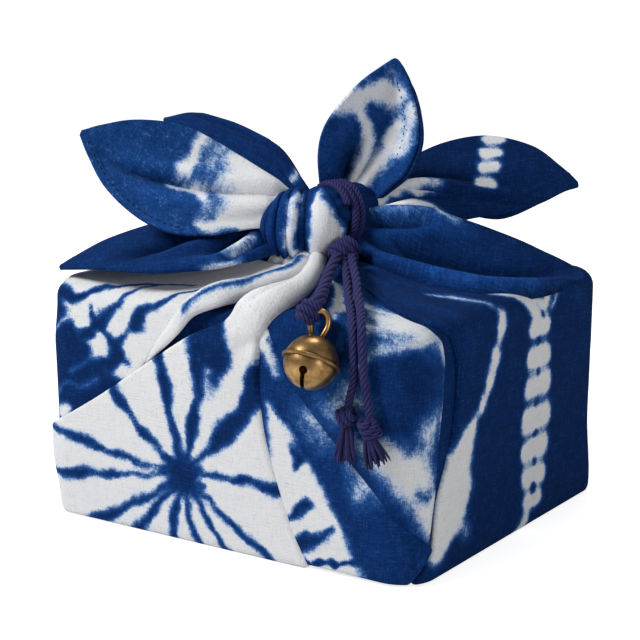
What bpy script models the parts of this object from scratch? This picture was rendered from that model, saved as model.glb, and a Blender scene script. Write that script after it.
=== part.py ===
"""Furoshiki wrap: one square of dyed cotton tied over a gift box, with a twisted cord and a jingle bell.

The frame: origin at the middle of the flat underside, +Z up, the front face toward -Y, the right
side toward +X. Lengths in the tables are millimetres and are scaled to metres as meshes are made.
"""

import math
from collections import namedtuple

import bmesh
import bpy
import numpy as np
from mathutils import Matrix

# Driving dimensions, mm.
BOX_WIDTH = 160.0
BOX_DEPTH = 140.0
BOX_HEIGHT = 90.0
SHEET = 1.8
WALL = 3.0
FRONT_CORNER = 13.0
OTHER_CORNER = 8.0
TOP_EDGE = 6.0
FOOT_EDGE = 3.5
TENT_RISE = 9.2
TENT_RUN = 70.0
NECK_RADIUS = 8.0
GATHER_AXIS = (-6.0, -6.0)
KNOT_CENTRE = np.array((-6.0, -6.0, 110.0))
KNOT_LEFT, KNOT_RIGHT, KNOT_RADIUS = 18.0, 16.0, 17.0
LEAF_THICKNESS = 2.2
CORD_RADIUS = 1.5
STRAND_RADIUS = 2.3
CORD_LAY = 8.0
BELL_RADIUS = 9.4
BELL_WALL = 0.9
WAIST_RADIUS, WAIST_HALF = 10.4, 0.55
SLOT_HALF, SLOT_HOLE, SLOT_ENDS = 0.75, 1.45, (-25, -155)
LOOP_WIRE, LOOP_HALF, LOOP_TALL, LOOP_CENTRE = 1.0, 2.7, 3.9, 13.8
GAP = 0.3
EDGE_ROLL = 2.2
MOUTH_Y, MOUTH_WIDTH, MOUTH_FOOT, MOUTH_TOP = -47.0, 6.4, 44.0, 68.0
MOUTH_REACH = (-12.0, 8.0)
MM = 0.001
SIDES = (BOX_WIDTH, BOX_DEPTH, BOX_WIDTH, BOX_DEPTH)
GIRTH = sum(SIDES)
CORNERS = [(-BOX_DEPTH, OTHER_CORNER), (0.0, OTHER_CORNER), (BOX_WIDTH, FRONT_CORNER),
           (BOX_WIDTH + BOX_DEPTH, OTHER_CORNER), (GIRTH - BOX_DEPTH, OTHER_CORNER), (GIRTH, OTHER_CORNER)]

# The knot lies along ACROSS; OUTWARD points square away from it over the front right corner.
ACROSS = np.array((0.831, 0.556, 0.0))
OUTWARD = np.array((0.556, -0.831, 0.0))
UP = np.array((0.0, 0.0, 1.0))

Rail = namedtuple("Rail", "left_s left_v right_s right_v lift crown")
Leaf = namedtuple("Leaf", "name rise_angle sections")
Section = namedtuple("Section", "out rise toward half lean cup crease")
Roll = namedtuple("Roll", "x y z wide tall")
Gather = namedtuple("Gather", "s width height start")
Pleat = namedtuple("Pleat", "centre half raised")
CordKnot = namedtuple("CordKnot", "x y z axis radius length lobes")
Tassel = namedtuple("Tassel", "knot foot sway")

# The flaps lie on the box in layers. A rail row crosses one flap: left and right edge as
# (s, v), s round the box from the front left corner and v up its side, then the lift of its sheet
# over the box and the crown that its middle is pulled up by.
FLAPS = {
    "petal_flap": [
        Rail(-150, 2, 30, 2, 0.0, 0.0),
        Rail(-150, 30, 30, 40, 0.0, 0.3),
        Rail(-150, 60, 46, 66, 0.2, 0.6),
        Rail(-150, 80, 58, 80, 0.4, 1.0),
        Rail(-150, 94, 68, 93, 0.6, 1.6),
        Rail(-150, 112, 74, 108, 0.4, 2.2),
        Rail(-150, 145, 78, 145, 0.3, 2.0),
    ],
    "corner_flap": [
        Rail(88, 1, 172, 1, 0.0, 0.0),
        Rail(90, 15, 172, 15, 0.1, 0.3),
        Rail(92, 30, 175.5, 30, 0.1, 0.8),
        Rail(92, 50, 177.5, 50, 0.2, 1.2),
        Rail(92, 66, 180, 66, 0.2, 1.5),
        Rail(92, 82, 179.5, 82, 0.2, 1.2),
        Rail(96, 98, 168, 98, 0.0, 0.6),
        Rail(102, 120, 162, 118, 0.0, 0.4),
        Rail(110, 148, 158, 148, 0.0, 0.3),
    ],
    "side_flap": [
        Rail(161, 1, 330, 1, 0.0, 0.0),
        Rail(173.5, 13, 330, 15, 0.0, 0.2),
        Rail(178, 28, 330, 30, 0.1, 0.3),
        Rail(186, 45, 330, 50, 0.2, 0.4),
        Rail(190, 66, 330, 66, 0.3, 0.5),
        Rail(187, 81, 330, 80, 0.4, 0.6),
        Rail(174, 98, 330, 98, 0.2, 0.8),
        Rail(166, 118, 330, 118, 0.0, 0.8),
        Rail(164, 148, 330, 148, 0.0, 0.5),
    ],
    "diagonal_flap": [
        Rail(100, 2, 161, 1, 1.2, 0.0),
        Rail(96, 13, 172, 12, 1.3, 0.2),
        Rail(94, 25, 155, 24, 1.4, 0.2),
        Rail(92, 40, 139, 39.5, 1.5, 0.2),
        Rail(91, 55, 123.5, 54.8, 1.5, 0.2),
        Rail(90, 68, 110, 68.5, 1.4, 0.2),
        Rail(89, 80, 101, 80.5, 1.2, 0.2),
    ],
    "sunburst_flap": [
        Rail(-55, 1, 117, 1, 2.2, 0.0),
        Rail(-33, 13, 110, 13, 2.4, 0.2),
        Rail(-5, 31, 105, 30, 2.6, 0.3),
        Rail(24, 48, 101, 48, 2.7, 0.4),
        Rail(52, 65, 98.5, 64, 2.8, 0.6),
        Rail(72, 77, 98, 77, 2.6, 1.4),
        Rail(86, 86, 101, 84, 2.0, 2.6),
        Rail(95, 93, 106, 90, 1.4, 3.4),
    ],
}

# The neck of the sunburst flap and the edge of the petal flap are rolled as they go to the knot.
# A roll's flat side faces the point ROLL_INSIDE.
ROLL_INSIDE = (0.0, 0.0, 60.0)
ROLLS = {
    "sunburst_neck": [
        Roll(12, -71.0, 83.0, 4.0, 2.5),
        Roll(17, -69.5, 90.0, 5.2, 3.6),
        Roll(21, -63.0, 94.0, 5.0, 4.0),
        Roll(19, -48.0, 95.0, 4.6, 4.0),
        Roll(11, -29.0, 96.0, 4.2, 4.0),
        Roll(2, -12.0, 99.0, 4.2, 4.2),
    ],
    "petal_roll": [
        Roll(-21, -70.5, 80.0, 3.2, 1.8),
        Roll(-14, -70.0, 88.0, 3.6, 2.8),
        Roll(-4, -65.5, 93.5, 4.0, 3.4),
        Roll(3, -52.0, 95.0, 4.0, 3.6),
        Roll(4, -30.0, 97.0, 3.6, 3.6),
        Roll(-2, -12.0, 99.0, 3.6, 3.6),
    ],
}

# Ridges of gathered cloth on the top, each along one s and rising from v = start to the knot.
GATHERS = [
    Gather(104, 5, 1.2, 92),
    Gather(131, 4, 1.4, 90),
    Gather(163, 6, 2.2, 90),
    Gather(188, 8, 2.6, 90),
    Gather(215, 10, 2.2, 96),
    Gather(248, 11, 3.0, 94),
    Gather(285, 10, 2.4, 92),
    Gather(322, 12, 3.0, 90),
    Gather(362, 11, 2.6, 92),
    Gather(402, 12, 2.8, 90),
    Gather(446, 11, 3.2, 90),
    Gather(486, 10, 2.4, 92),
    Gather(524, 11, 2.8, 92),
    Gather(566, 10, 2.2, 92),
    Gather(22, 9, 2.0, 94),
]

# Leaves of the bow. Each has its own axis at rise_angle in the upright plane of ACROSS; a section
# sits `out` along it and has its centre `rise` over it and `toward` OUTWARD, a half width, a lean
# of its face back from upright in degrees, a cup (hollow when negative) and the crease's place.
LEAVES = [
    Leaf("left_leaf", 157.5, [
        Section(8, 2.0, 0.0, 7.5, 36, 3.0, 0.0),
        Section(20, 1.4, 3.5, 12.0, 39, 1.0, 0.1),
        Section(33, 0.0, 5.2, 17.6, 41, -1.5, 0.1),
        Section(46, -0.7, 4.6, 20.8, 40, -2.5, -0.1),
        Section(60, 0.2, 3.0, 19.6, 37, -2.5, -0.2),
        Section(76, 0.5, 2.6, 13.2, 33, -1.2, -0.2),
        Section(87, 0.4, 2.2, 5.6, 32, -0.4, -0.1),
        Section(93, 0.0, 2.0, 0.8, 32, 0.0, 0.0),
    ]),
    Leaf("left_back_leaf", 147.4, [
        Section(6, 7.0, -7.0, 5.0, 38, 0.6, 0.0),
        Section(23, 11.4, -14.1, 8.8, 47, 1.6, 0.0),
        Section(36, 10.0, -19.7, 10.2, 54, 2.2, 0.0),
        Section(49, 7.3, -24.2, 10.4, 60, 2.2, 0.0),
        Section(60, 4.0, -29.2, 8.2, 59, 1.4, 0.0),
        Section(68, -0.5, -36.0, 1.2, 70, 0.0, 0.0),
    ]),
    Leaf("left_low_flap", -171.0, [
        Section(9, -2.5, 4.0, 6.0, 50, 0.8, 0.0),
        Section(28, -0.6, 11.0, 15.0, 66, 1.5, -0.1),
        Section(44, 2.4, 14.5, 21.5, 72, 1.8, -0.1),
        Section(60, 3.4, 16.5, 22.5, 77, 1.2, -0.1),
        Section(77, 3.4, 14.5, 15.5, 80, 0.6, 0.0),
        Section(89, 1.6, 12.0, 7.0, 82, 0.2, 0.0),
        Section(95, 0.4, 11.0, 1.5, 84, 0.0, 0.0),
    ]),
    Leaf("top_leaf", 62.2, [
        Section(11, -7.5, -9.0, 8.0, 6, -2.0, 0.0),
        Section(25, -5.6, -3.0, 14.6, 8, -9.0, 0.2),
        Section(36, -5.4, 2.0, 17.4, 6, -12.5, 0.2),
        Section(48, -5.2, 3.0, 15.8, 5, -10.5, 0.2),
        Section(58, -3.7, 1.8, 11.2, 5, -6.5, 0.2),
        Section(66, -1.9, 0.4, 5.4, 4, -2.4, 0.1),
        Section(71, 0.0, 0.0, 0.9, 4, 0.0, 0.0),
    ]),
    Leaf("right_back_leaf", 6.5, [
        Section(20, 4.6, -7.0, 6.0, 42, 1.0, 0.0),
        Section(40, 10.1, -14.1, 10.0, 45, 2.4, -0.2),
        Section(56, 9.7, -22.1, 15.2, 42, 2.4, -0.4),
        Section(74, 7.6, -26.5, 17.5, 39, 2.2, -0.4),
        Section(91, 5.7, -28.2, 12.5, 40, 1.2, -0.3),
        Section(101, 2.1, -28.1, 5.7, 40, 0.5, 0.0),
        Section(107, -0.7, -27.5, 1.0, 38, 0.0, 0.0),
    ]),
    Leaf("right_low_leaf", -10.5, [
        Section(15, 1.6, 2.0, 6.5, 30, -1.0, 0.0),
        Section(34, 5.3, 15.5, 13.5, 50, -6.0, 0.0),
        Section(49, 5.8, 21.0, 17.5, 58, -6.4, 0.0),
        Section(66, 5.0, 22.0, 18.0, 63, -6.0, 0.1),
        Section(84, 3.6, 16.0, 13.6, 66, -4.2, 0.1),
        Section(98, 1.2, 5.5, 6.2, 68, -1.6, 0.1),
        Section(105, -0.1, 1.0, 2.0, 75, 0.0, 0.0),
    ]),
]

# Pleats round the knot: place and half width as parts of its half length, and height in mm.
PLEATS = [
    Pleat(-0.86, 0.14, 1.0),
    Pleat(-0.60, 0.13, 1.2),
    Pleat(-0.36, 0.12, 1.1),
    Pleat(-0.14, 0.11, 1.3),
    Pleat(0.05, 0.08, 0.7),
    Pleat(0.42, 0.30, 1.8),
    Pleat(0.86, 0.15, 1.0),
]

# Cord runs by hand, mm: from the wrap's knot to the bell, and the two tails over the front edge.
BELL_STRAND = [
    (16.6, -20.2, 102.6), (20.7, -29.8, 101.0), (25.3, -40.0, 99.1), (32.0, -53.3, 97.1),
    (36.8, -62.7, 96.1), (38.7, -66.8, 96.0),
]
LEFT_TAIL = [
    (17.4, -17.2, 100.6), (24.3, -26.6, 99.5), (32.8, -38.8, 98.0), (41.7, -51.8, 96.1),
    (49.8, -63.1, 94.3), (56.4, -71.6, 91.1), (58.2, -73.9, 85.8), (58.6, -74.3, 79.0),
    (58.6, -74.5, 72.2), (57.6, -75.3, 66.4),
]
RIGHT_TAIL = [
    (20.9, -17.4, 102.3), (29.4, -29.3, 101.1), (38.2, -41.2, 99.3), (46.8, -53.6, 97.1),
    (54.2, -63.6, 94.9), (60.4, -72.4, 91.4), (61.7, -74.3, 85.8), (62.4, -74.6, 80.0),
    (63.0, -74.8, 73.6), (64.0, -75.0, 68.2), (65.4, -75.4, 63.9),
]

# Tight knots of the cord, and what hangs frayed under each tail's: down to `foot`, swung by `sway`.
NECK_KNOT = CordKnot(15.2, -12.2, 104.0, (-0.2, 0.3, 1), 4.7, 11.0, 4)
BELL_KNOT = CordKnot(41.2, -71.8, 95.6, (-0.5, 0.35, 0.8), 4.8, 9.6, 3)
TASSELS = {
    "left": Tassel(CordKnot(57.0, -76.0, 61.6, (-0.15, 0, 1), 3.7, 8.6, 3), 46.4, -4.6),
    "right": Tassel(CordKnot(66.2, -76.0, 58.8, (0.15, 0, 1), 3.7, 8.6, 3), 47.6, 4.6),
}
STRAND_RINGS = ((5, 1.2), (8, 2.6))
BELL_CENTRE = np.array((46.2, -81.6, 78.7))
BELL_LEAN = math.radians(22.0)
SLOT_FACES = np.array((0.294, -0.954, -0.061))


def rounded(from_corner, radius):
    """Distance along a side and inset from it, for a path that turns a corner on an arc."""
    turn = np.radians(45) * np.clip(1 - from_corner / radius, 0, 1)
    on_arc = from_corner < radius
    along = np.where(on_arc, radius * (1 - np.sin(turn)), from_corner)
    return along, radius * (1 - np.cos(turn)), turn


def ring(s):
    """Point and outward direction at distance s round the box, from its front left corner."""
    half = np.array((BOX_WIDTH, BOX_DEPTH)) / 2
    s = np.mod(s, GIRTH)
    point = np.zeros(s.shape + (2,))
    outward = np.zeros(s.shape + (2,))
    corners = [(-1, -1), (1, -1), (1, 1), (-1, 1)]
    radii = [OTHER_CORNER, FRONT_CORNER, OTHER_CORNER, OTHER_CORNER]
    start = 0.0
    for side, length in enumerate(SIDES):
        first, last = (np.array(corners[i % 4]) * half for i in (side, side + 1))
        run = (last - first) / length
        out = np.array((run[1], -run[0]))
        for corner, way, radius in ((first, 1, radii[side]), (last, -1, radii[(side + 1) % 4])):
            here = (s - start if way > 0 else start + length - s)
            use = (here >= 0) & (here <= length / 2)
            along, inset, turn = rounded(here, radius)
            at = corner + way * run * along[..., None] - out * inset[..., None]
            normal = out * np.cos(turn)[..., None] - way * run * np.sin(turn)[..., None]
            point[use] = at[use]
            outward[use] = normal[use]
        start += length
    return point, outward


def box_point(s, v):
    """Point of the wrapped box's surface; v runs under the foot below 0 and over the top above it."""
    edge, _ = ring(s)
    low = v < BOX_HEIGHT / 2
    along, inset, _ = rounded(np.where(low, np.abs(v), np.abs(BOX_HEIGHT - v)),
                              np.where(low, FOOT_EDGE, TOP_EDGE))
    over = np.where(low, v < 0, v > BOX_HEIGHT)
    inward = np.where(over, along, inset)
    climb = np.where(over, inset, along)
    height = np.where(low, climb, BOX_HEIGHT - climb)
    share = np.clip((v - BOX_HEIGHT) / TENT_RUN, 0, 1)
    height = height + TENT_RISE * share ** 1.15
    centre = np.where((v > BOX_HEIGHT / 2)[..., None], np.array(GATHER_AXIS), np.zeros(2))
    away = centre - edge
    reach = np.linalg.norm(away, axis=-1)
    inward = inward + np.where(v > BOX_HEIGHT, (reach - NECK_RADIUS - TENT_RUN) * share ** 2, 0)
    flat = edge + away * (inward / reach)[..., None]
    return np.concatenate([flat, height[..., None]], axis=-1)


def on_box(s, v, height, lowest=0.0):
    """Point `height` out from the wrapped box, no lower than `lowest`."""
    s, v, height = np.broadcast_arrays(*(np.asarray(a, float) for a in (s, v, height)))
    step = 0.4
    along = box_point(s + step, v) - box_point(s - step, v)
    up = box_point(s, v + step) - box_point(s, v - step)
    normal = np.cross(along, up)
    normal /= np.linalg.norm(normal, axis=-1, keepdims=True)
    point = box_point(s, v) + normal * height[..., None]
    point[..., 2] = np.maximum(point[..., 2], lowest)
    return point


def relief(s, v):
    """Height of the gathers over the top of the box."""
    total = np.zeros(np.broadcast(s, v).shape)
    for g in GATHERS:
        off = np.mod(s - g.s + GIRTH / 2, GIRTH) - GIRTH / 2
        grow = np.clip((v - g.start) / (BOX_HEIGHT + TENT_RUN - g.start), 0, 1)
        total = total + g.height * np.exp(-(off / g.width) ** 2) * np.sin(grow * math.pi * 0.6)
    return total


def smooth_rows(rows, count):
    """Catmull-Rom rows through the given ones, evenly spread."""
    rows = np.array(rows, float)
    ends = np.vstack([2 * rows[0] - rows[1], rows, 2 * rows[-1] - rows[-2]])
    place = np.linspace(0, len(rows) - 1, count)
    first = np.minimum(place.astype(int), len(rows) - 2)
    t = (place - first)[:, None]
    a, b, c, d = (ends[first + i] for i in range(4))
    return 0.5 * (2 * b + (c - a) * t + (2 * a - 5 * b + 4 * c - d) * t ** 2
                  + (3 * b - a - 3 * c + d) * t ** 3)


def new_object(name, points, faces, colour, roughness=0.85, metallic=0.0):
    """Object from points in mm, with its faces turned outward and its own material."""
    mesh = bpy.data.meshes.new(name)
    mesh.from_pydata((np.asarray(points).reshape(-1, 3) * MM).tolist(), [], faces)
    work = bmesh.new()
    work.from_mesh(mesh)
    bmesh.ops.remove_doubles(work, verts=work.verts, dist=1e-6)
    bmesh.ops.recalc_face_normals(work, faces=work.faces)
    work.to_mesh(mesh)
    work.free()
    mesh.shade_smooth()
    mesh.set_sharp_from_angle(angle=math.radians(40))
    body = bpy.data.objects.new(name, mesh)
    bpy.context.scene.collection.objects.link(body)
    material = bpy.data.materials.new(name)
    material.use_nodes = True
    shader = material.node_tree.nodes["Principled BSDF"]
    shader.inputs["Base Color"].default_value = (*colour, 1)
    shader.inputs["Roughness"].default_value = roughness
    shader.inputs["Metallic"].default_value = metallic
    mesh.materials.append(material)
    return body


def grid_faces(rows, columns, first=0, closed=False, flip=False):
    """Quads of a grid of points, joined round its columns if closed."""
    faces = []
    for r in range(rows - 1):
        for c in range(columns if closed else columns - 1):
            n = (c + 1) % columns
            quad = [r * columns + c, r * columns + n, (r + 1) * columns + n, (r + 1) * columns + c]
            faces.append([first + i for i in (reversed(quad) if flip else quad)])
    return faces


def slab(name, outer, inner, colour):
    """Closed sheet between two grids of points of one size."""
    rows, columns = outer.shape[:2]
    count = rows * columns
    faces = grid_faces(rows, columns) + grid_faces(rows, columns, count, flip=True)
    top = list(range(columns))
    right = [r * columns + columns - 1 for r in range(1, rows)]
    foot = [(rows - 1) * columns + c for c in range(columns - 2, -1, -1)]
    left = [r * columns for r in range(rows - 2, 0, -1)]
    rim = top + right + foot + left
    for a, b in zip(rim, rim[1:] + rim[:1]):
        faces.append([a, a + count, b + count, b])
    points = np.concatenate([outer.reshape(-1, 3), inner.reshape(-1, 3)])
    return new_object(name, points, faces, colour)


def tube(name, rings, colour, **finish):
    """Closed tube through rings of points, each end capped."""
    rows, sides = rings.shape[:2]
    faces = grid_faces(rows, sides, closed=True)
    faces.append(list(range(sides)))
    faces.append([(rows - 1) * sides + i for i in range(sides)])
    return new_object(name, rings, faces, colour, **finish)


def rings_along(path, side, lift, wide, tall, count):
    """Ovals of `count` points across a path, `wide` along its side axis and `tall` along its lift."""
    turn = np.linspace(0, 2 * np.pi, count, endpoint=False)[None, :, None]
    return path[:, None] + side[:, None] * np.cos(turn) * wide + lift[:, None] * np.sin(turn) * tall


def frames(path):
    """Two axes square to a path at each of its points, turning as little as they can."""
    ahead = np.gradient(path, axis=0)
    ahead /= np.linalg.norm(ahead, axis=1, keepdims=True)
    side = np.cross(ahead[0], UP if abs(ahead[0][2]) < 0.9 else ACROSS)
    sides = []
    for direction in ahead:
        side = side - direction * (side @ direction)
        side = side / np.linalg.norm(side)
        sides.append(side)
    sides = np.array(sides)
    return sides, np.cross(ahead, sides)


def even_path(points, step):
    """Points of a smooth curve through the given ones, about `step` mm apart."""
    fine = smooth_rows(points, 40 * len(points))
    gone = np.concatenate([[0], np.cumsum(np.linalg.norm(np.diff(fine, axis=0), axis=1))])
    at = np.linspace(0, gone[-1], max(3, round(gone[-1] / step) + 1))
    return np.stack([np.interp(at, gone, fine[:, i]) for i in range(3)], axis=1), at


def rope(name, points, radius, step):
    """Three-strand cord: its strands stand out as a raised spiral."""
    path, gone = even_path(points, step)
    side, lift = frames(path)
    corners = np.arange(6)
    reach = radius * np.where(corners % 2, 0.8, 1.0)
    angle = np.pi / 3 * corners + (2 * np.pi * gone / (radius * CORD_LAY))[:, None]
    rings = path[:, None] + reach[:, None] * (
        np.cos(angle)[..., None] * side[:, None] + np.sin(angle)[..., None] * lift[:, None])
    return tube(name, rings, CORD_NAVY, roughness=CORD_ROUGHNESS)


def bead(name, tie):
    """Tight knot: an egg with the cord's turns raised round it on the slant."""
    axis = np.array(tie.axis, float) / np.linalg.norm(tie.axis)
    side = np.cross(axis, OUTWARD)
    side /= np.linalg.norm(side)
    third = np.cross(axis, side)
    climb = np.linspace(-0.985, 0.985, 10)[:, None]
    around = np.linspace(0, 2 * np.pi, 14, endpoint=False)[None, :]
    turns = 1 + 0.09 * np.cos(2.6 * tie.lobes * climb + 2 * around)
    wide = tie.radius * (1 - climb ** 2) ** 0.4 * turns
    points = (np.array((tie.x, tie.y, tie.z)) + axis * (climb * tie.length / 2 + 0 * around)[..., None]
              + side * (wide * np.cos(around))[..., None] + third * (wide * np.sin(around))[..., None])
    return tube(name, points, CORD_NAVY, roughness=CORD_ROUGHNESS)


def boolean(body, operation, others, solver="EXACT"):
    """Joins the others to the body or cuts them from it, and removes them.

    The cloth's many layers meet at grazing angles, where EXACT leaves edges open and MANIFOLD doesn't.
    """
    for other in others:
        step = body.modifiers.new(operation, "BOOLEAN")
        step.operation = operation
        step.solver = solver
        step.object = other
        other.hide_render = True
        other.display_type = "WIRE"
        bpy.context.view_layer.update()
        done = body.evaluated_get(bpy.context.evaluated_depsgraph_get())
        mesh = bpy.data.meshes.new_from_object(done)
        body.modifiers.clear()
        body.data = mesh
        bpy.data.objects.remove(other)
    return body


def fill_pockets(body):
    """Keeps the outermost skin, so that no small space stays sealed where layers meet."""
    work = bmesh.new()
    work.from_mesh(body.data)
    left = set(work.verts)
    skins = []
    while left:
        skin = set()
        edge = [left.pop()]
        while edge:
            vertex = edge.pop()
            skin.add(vertex)
            for link in vertex.link_edges:
                other = link.other_vert(vertex)
                if other in left:
                    left.remove(other)
                    edge.append(other)
        skins.append(skin)
    skins.sort(key=len)
    for skin in skins[:-1]:
        bmesh.ops.delete(work, geom=list(skin), context="VERTS")
    work.to_mesh(body.data)
    work.free()


CLOTH_BLUE = (0.03, 0.09, 0.33)
CORD_NAVY = (0.03, 0.03, 0.13)
BRASS = (0.42, 0.27, 0.1)
CORD_ROUGHNESS = 0.8
BRASS_FINISH = {"roughness": 0.35, "metallic": 1.0}


def wrapped_box():
    """The innermost layer of cloth: the box's form with its gathers, closed under the knot."""
    fine = np.linspace(0, GIRTH, 1200)
    spread = crowded(fine)
    s = np.interp(np.linspace(spread[0], spread[-1], 61)[:-1], spread, fine)[None, :]
    v = np.array((-60, -4, -1.5, 1.5, 4, 24, 46, 66, 83, 87, 90, 93, 97, 108, 122, 138, 150, 158))
    inset = np.where(v < 2, np.clip((v + 4) / 6, 0, 1), 1)[:, None]
    outer = on_box(s, v[:, None], -SHEET * inset + relief(s, v[:, None]))
    rows, columns = outer.shape[:2]
    faces = grid_faces(rows, columns, closed=True)
    faces.append(list(range(columns)))
    faces.append([(rows - 1) * columns + c for c in range(columns)])
    return new_object("furoshiki_cloth", outer, faces, CLOTH_BLUE)


def crowded(s):
    """Distance round the box counted three times over at its corners, where columns crowd."""
    total = np.array(s, float)
    for corner, radius in CORNERS:
        total = total + 1.3 * radius * np.tanh((s - corner) / radius)
    return total


def columns_between(left, right, count):
    """Places from left to right round the box: three close to each edge, the rest even but at corners."""
    fine = np.linspace(left - 4, right + 4, 600)
    ends = crowded(np.array((left + EDGE_ROLL, right - EDGE_ROLL)))
    middle = np.interp(np.linspace(ends[0], ends[1], count - 4), crowded(fine), fine)
    return np.concatenate([[left, left + 0.3 * EDGE_ROLL], middle, [right - 0.3 * EDGE_ROLL, right]])


def flap(name, rails):
    """One layer of cloth on the box, its long edges rolled under."""
    rows = smooth_rows(rails, 2 * len(rails) - 1)
    columns = 22 if rails[0].right_s - rails[0].left_s > 100 else 13
    s = np.array([columns_between(row[0], row[2], columns) for row in rows])
    left_s, left_v, right_s, right_v, lift, crown = (rows[:, i:i + 1] for i in range(6))
    across = (s - left_s) / (right_s - left_s)
    v = left_v + (right_v - left_v) * across
    near_edge = np.minimum(s - left_s, right_s - s)
    rolled = np.sqrt(np.clip(1 - (1 - np.clip(near_edge / EDGE_ROLL, 0, 1)) ** 2, 0, 1))
    height = lift + crown * np.sin(np.pi * across) + SHEET * (rolled - 1) + 0.5 * relief(s, v)
    outer = on_box(s, v, height, 0.35)
    inner = on_box(s, v, -SHEET - 1.0, 1.15)
    return slab(name, outer, inner, CLOTH_BLUE)


def roll(name, rows):
    """Rolled edge of a flap, an oval tube lying on the top."""
    smooth = smooth_rows(rows, 2 * len(rows) - 1)
    path, wide, tall = smooth[:, :3], smooth[:, 3:4], smooth[:, 4:5]
    ahead = np.gradient(path, axis=0)
    ahead /= np.linalg.norm(ahead, axis=1, keepdims=True)
    inside = np.array(ROLL_INSIDE) - path
    lift = -(inside - ahead * np.sum(inside * ahead, axis=1, keepdims=True))
    lift /= np.linalg.norm(lift, axis=1, keepdims=True)
    side = np.cross(ahead, lift)
    return tube(name, rings_along(path, side, lift, wide[:, None], tall[:, None], 12), CLOTH_BLUE)


def leaf(shape):
    """One leaf of the bow as a cupped, creased sheet."""
    angle = math.radians(shape.rise_angle)
    axis = ACROSS * math.cos(angle) + UP * math.sin(angle)
    over = UP * abs(math.cos(angle)) - ACROSS * math.sin(angle) * np.sign(math.cos(angle))
    rows = smooth_rows(shape.sections, 2 * len(shape.sections) - 3)[:, None, :]
    out, rise, toward, half, lean, cup, crease = (rows[..., i] for i in range(7))
    across = np.array((-1, -0.86, -0.5, 0, 0.5, 0.86, 1))[None, :]
    lean = np.radians(lean)
    bent = np.where(across < crease, (crease - across) / (1 + crease), (across - crease) / (1 - crease))
    hollow = cup * (1 - bent ** 1.6)
    edge_over, edge_out = half * across * np.cos(lean), -half * across * np.sin(lean)
    face_over, face_out = np.sin(lean), np.cos(lean)

    def place(offset):
        depth = hollow + offset
        return (KNOT_CENTRE + axis * (out + 0 * across)[..., None]
                + over * (rise + edge_over + face_over * depth)[..., None]
                + OUTWARD * (toward + edge_out + face_out * depth)[..., None])

    thin = LEAF_THICKNESS / 2 * np.sqrt(1.15 - across ** 2)
    return slab(shape.name, place(thin), place(-thin), CLOTH_BLUE)


def knot():
    """The pleated ball of the knot, its pleats drawn together over and under it."""
    around = np.linspace(0, 2 * np.pi, 26, endpoint=False)[:, None]
    place = np.array((-0.99, -0.93, -0.86, -0.73, -0.6, -0.48, -0.36, -0.25, -0.14, -0.03, 0.05, 0.13, 0.27,
                      0.42, 0.57, 0.71, 0.86, 0.95, 0.99))[None, :]
    pleats = np.zeros(place.shape)
    for p in PLEATS:
        pleats = np.maximum(pleats, p.raised * np.sqrt(np.clip(1 - ((place - p.centre) / p.half) ** 2, 0, 1)))
    front = 0.5 + 0.5 * np.cos(around)
    draw = 0.62 + 0.38 * front
    along = place * np.where(place < 0, KNOT_LEFT, KNOT_RIGHT) * draw + 1.5 * np.sin(around) * (1 - place ** 2)
    radius = (KNOT_RADIUS - 1.6) * np.sqrt(1 - np.abs(place) ** 2.6) + pleats * (0.35 + 0.65 * front)
    flat = 1 - 0.08 * np.sin(around) ** 2
    points = (KNOT_CENTRE + ACROSS * along[..., None]
              + OUTWARD * (radius * np.cos(around))[..., None] + UP * (radius * flat * np.sin(around))[..., None])
    return tube("knot", np.swapaxes(points, 0, 1), CLOTH_BLUE)


WRAP_TURN = math.radians(-37.0)
WRAP_AXIS = ACROSS * math.cos(WRAP_TURN) + OUTWARD * math.sin(WRAP_TURN)
WRAP_SIDE = np.cross(UP, WRAP_AXIS)
WRAP_CENTRE = KNOT_CENTRE + ACROSS * 11.5 - OUTWARD * 1.0 + UP * 4.6
WRAP_RADIUS = 12.5
WRAP_PITCH = 3.0
WRAP_ROOM = 0.9
NECK_ROWS = [(-9, 7.5), (-5, 10.2), (4.5, 10.6), (9, 11.0), (14, 9.0), (18, 5.0)]


def wrap_ring(section):
    """Rings of points round the knot's neck; a section is (along the neck, out from it) columns."""
    along, out = section
    around = np.linspace(0, 2 * np.pi, along.shape[0], endpoint=False)[:, None]
    reach = WRAP_RADIUS + out
    return (WRAP_CENTRE + WRAP_AXIS * along[..., None] - WRAP_SIDE * (reach * np.cos(around))[..., None]
            + UP * (reach * np.sin(around))[..., None])


def closed_ring(name, points, colour, **finish):
    """Solid of a section carried right round."""
    rings, sides = points.shape[:2]
    looped = np.concatenate([points, points[:1]])
    return new_object(name, looped, grid_faces(rings + 1, sides, closed=True), colour, **finish)


def neck():
    """Cloth drawn together inside the cord's wrap."""
    along, wide = np.hsplit(np.array(NECK_ROWS), 2)
    around = np.linspace(0, 2 * np.pi, 16, endpoint=False)[None, :]
    radius = wide * (1 + 0.04 * np.cos(5 * around))
    points = (WRAP_CENTRE + WRAP_AXIS * (along + 0 * around)[..., None]
              - WRAP_SIDE * (radius * np.cos(around))[..., None] + UP * (radius * np.sin(around))[..., None])
    return tube("neck", points, CLOTH_BLUE)


def wrap_groove():
    """Room for the cord's three turns, cut from the cloth."""
    turn = np.linspace(0, 2 * np.pi, 10, endpoint=False)[None, :]
    steps = np.ones((24, 1))
    along = steps * (WRAP_PITCH + CORD_RADIUS + WRAP_ROOM) * np.cos(turn)
    out = steps * (CORD_RADIUS + WRAP_ROOM) * np.sin(turn)
    return closed_ring("groove", wrap_ring((along, out)), CLOTH_BLUE)


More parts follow.
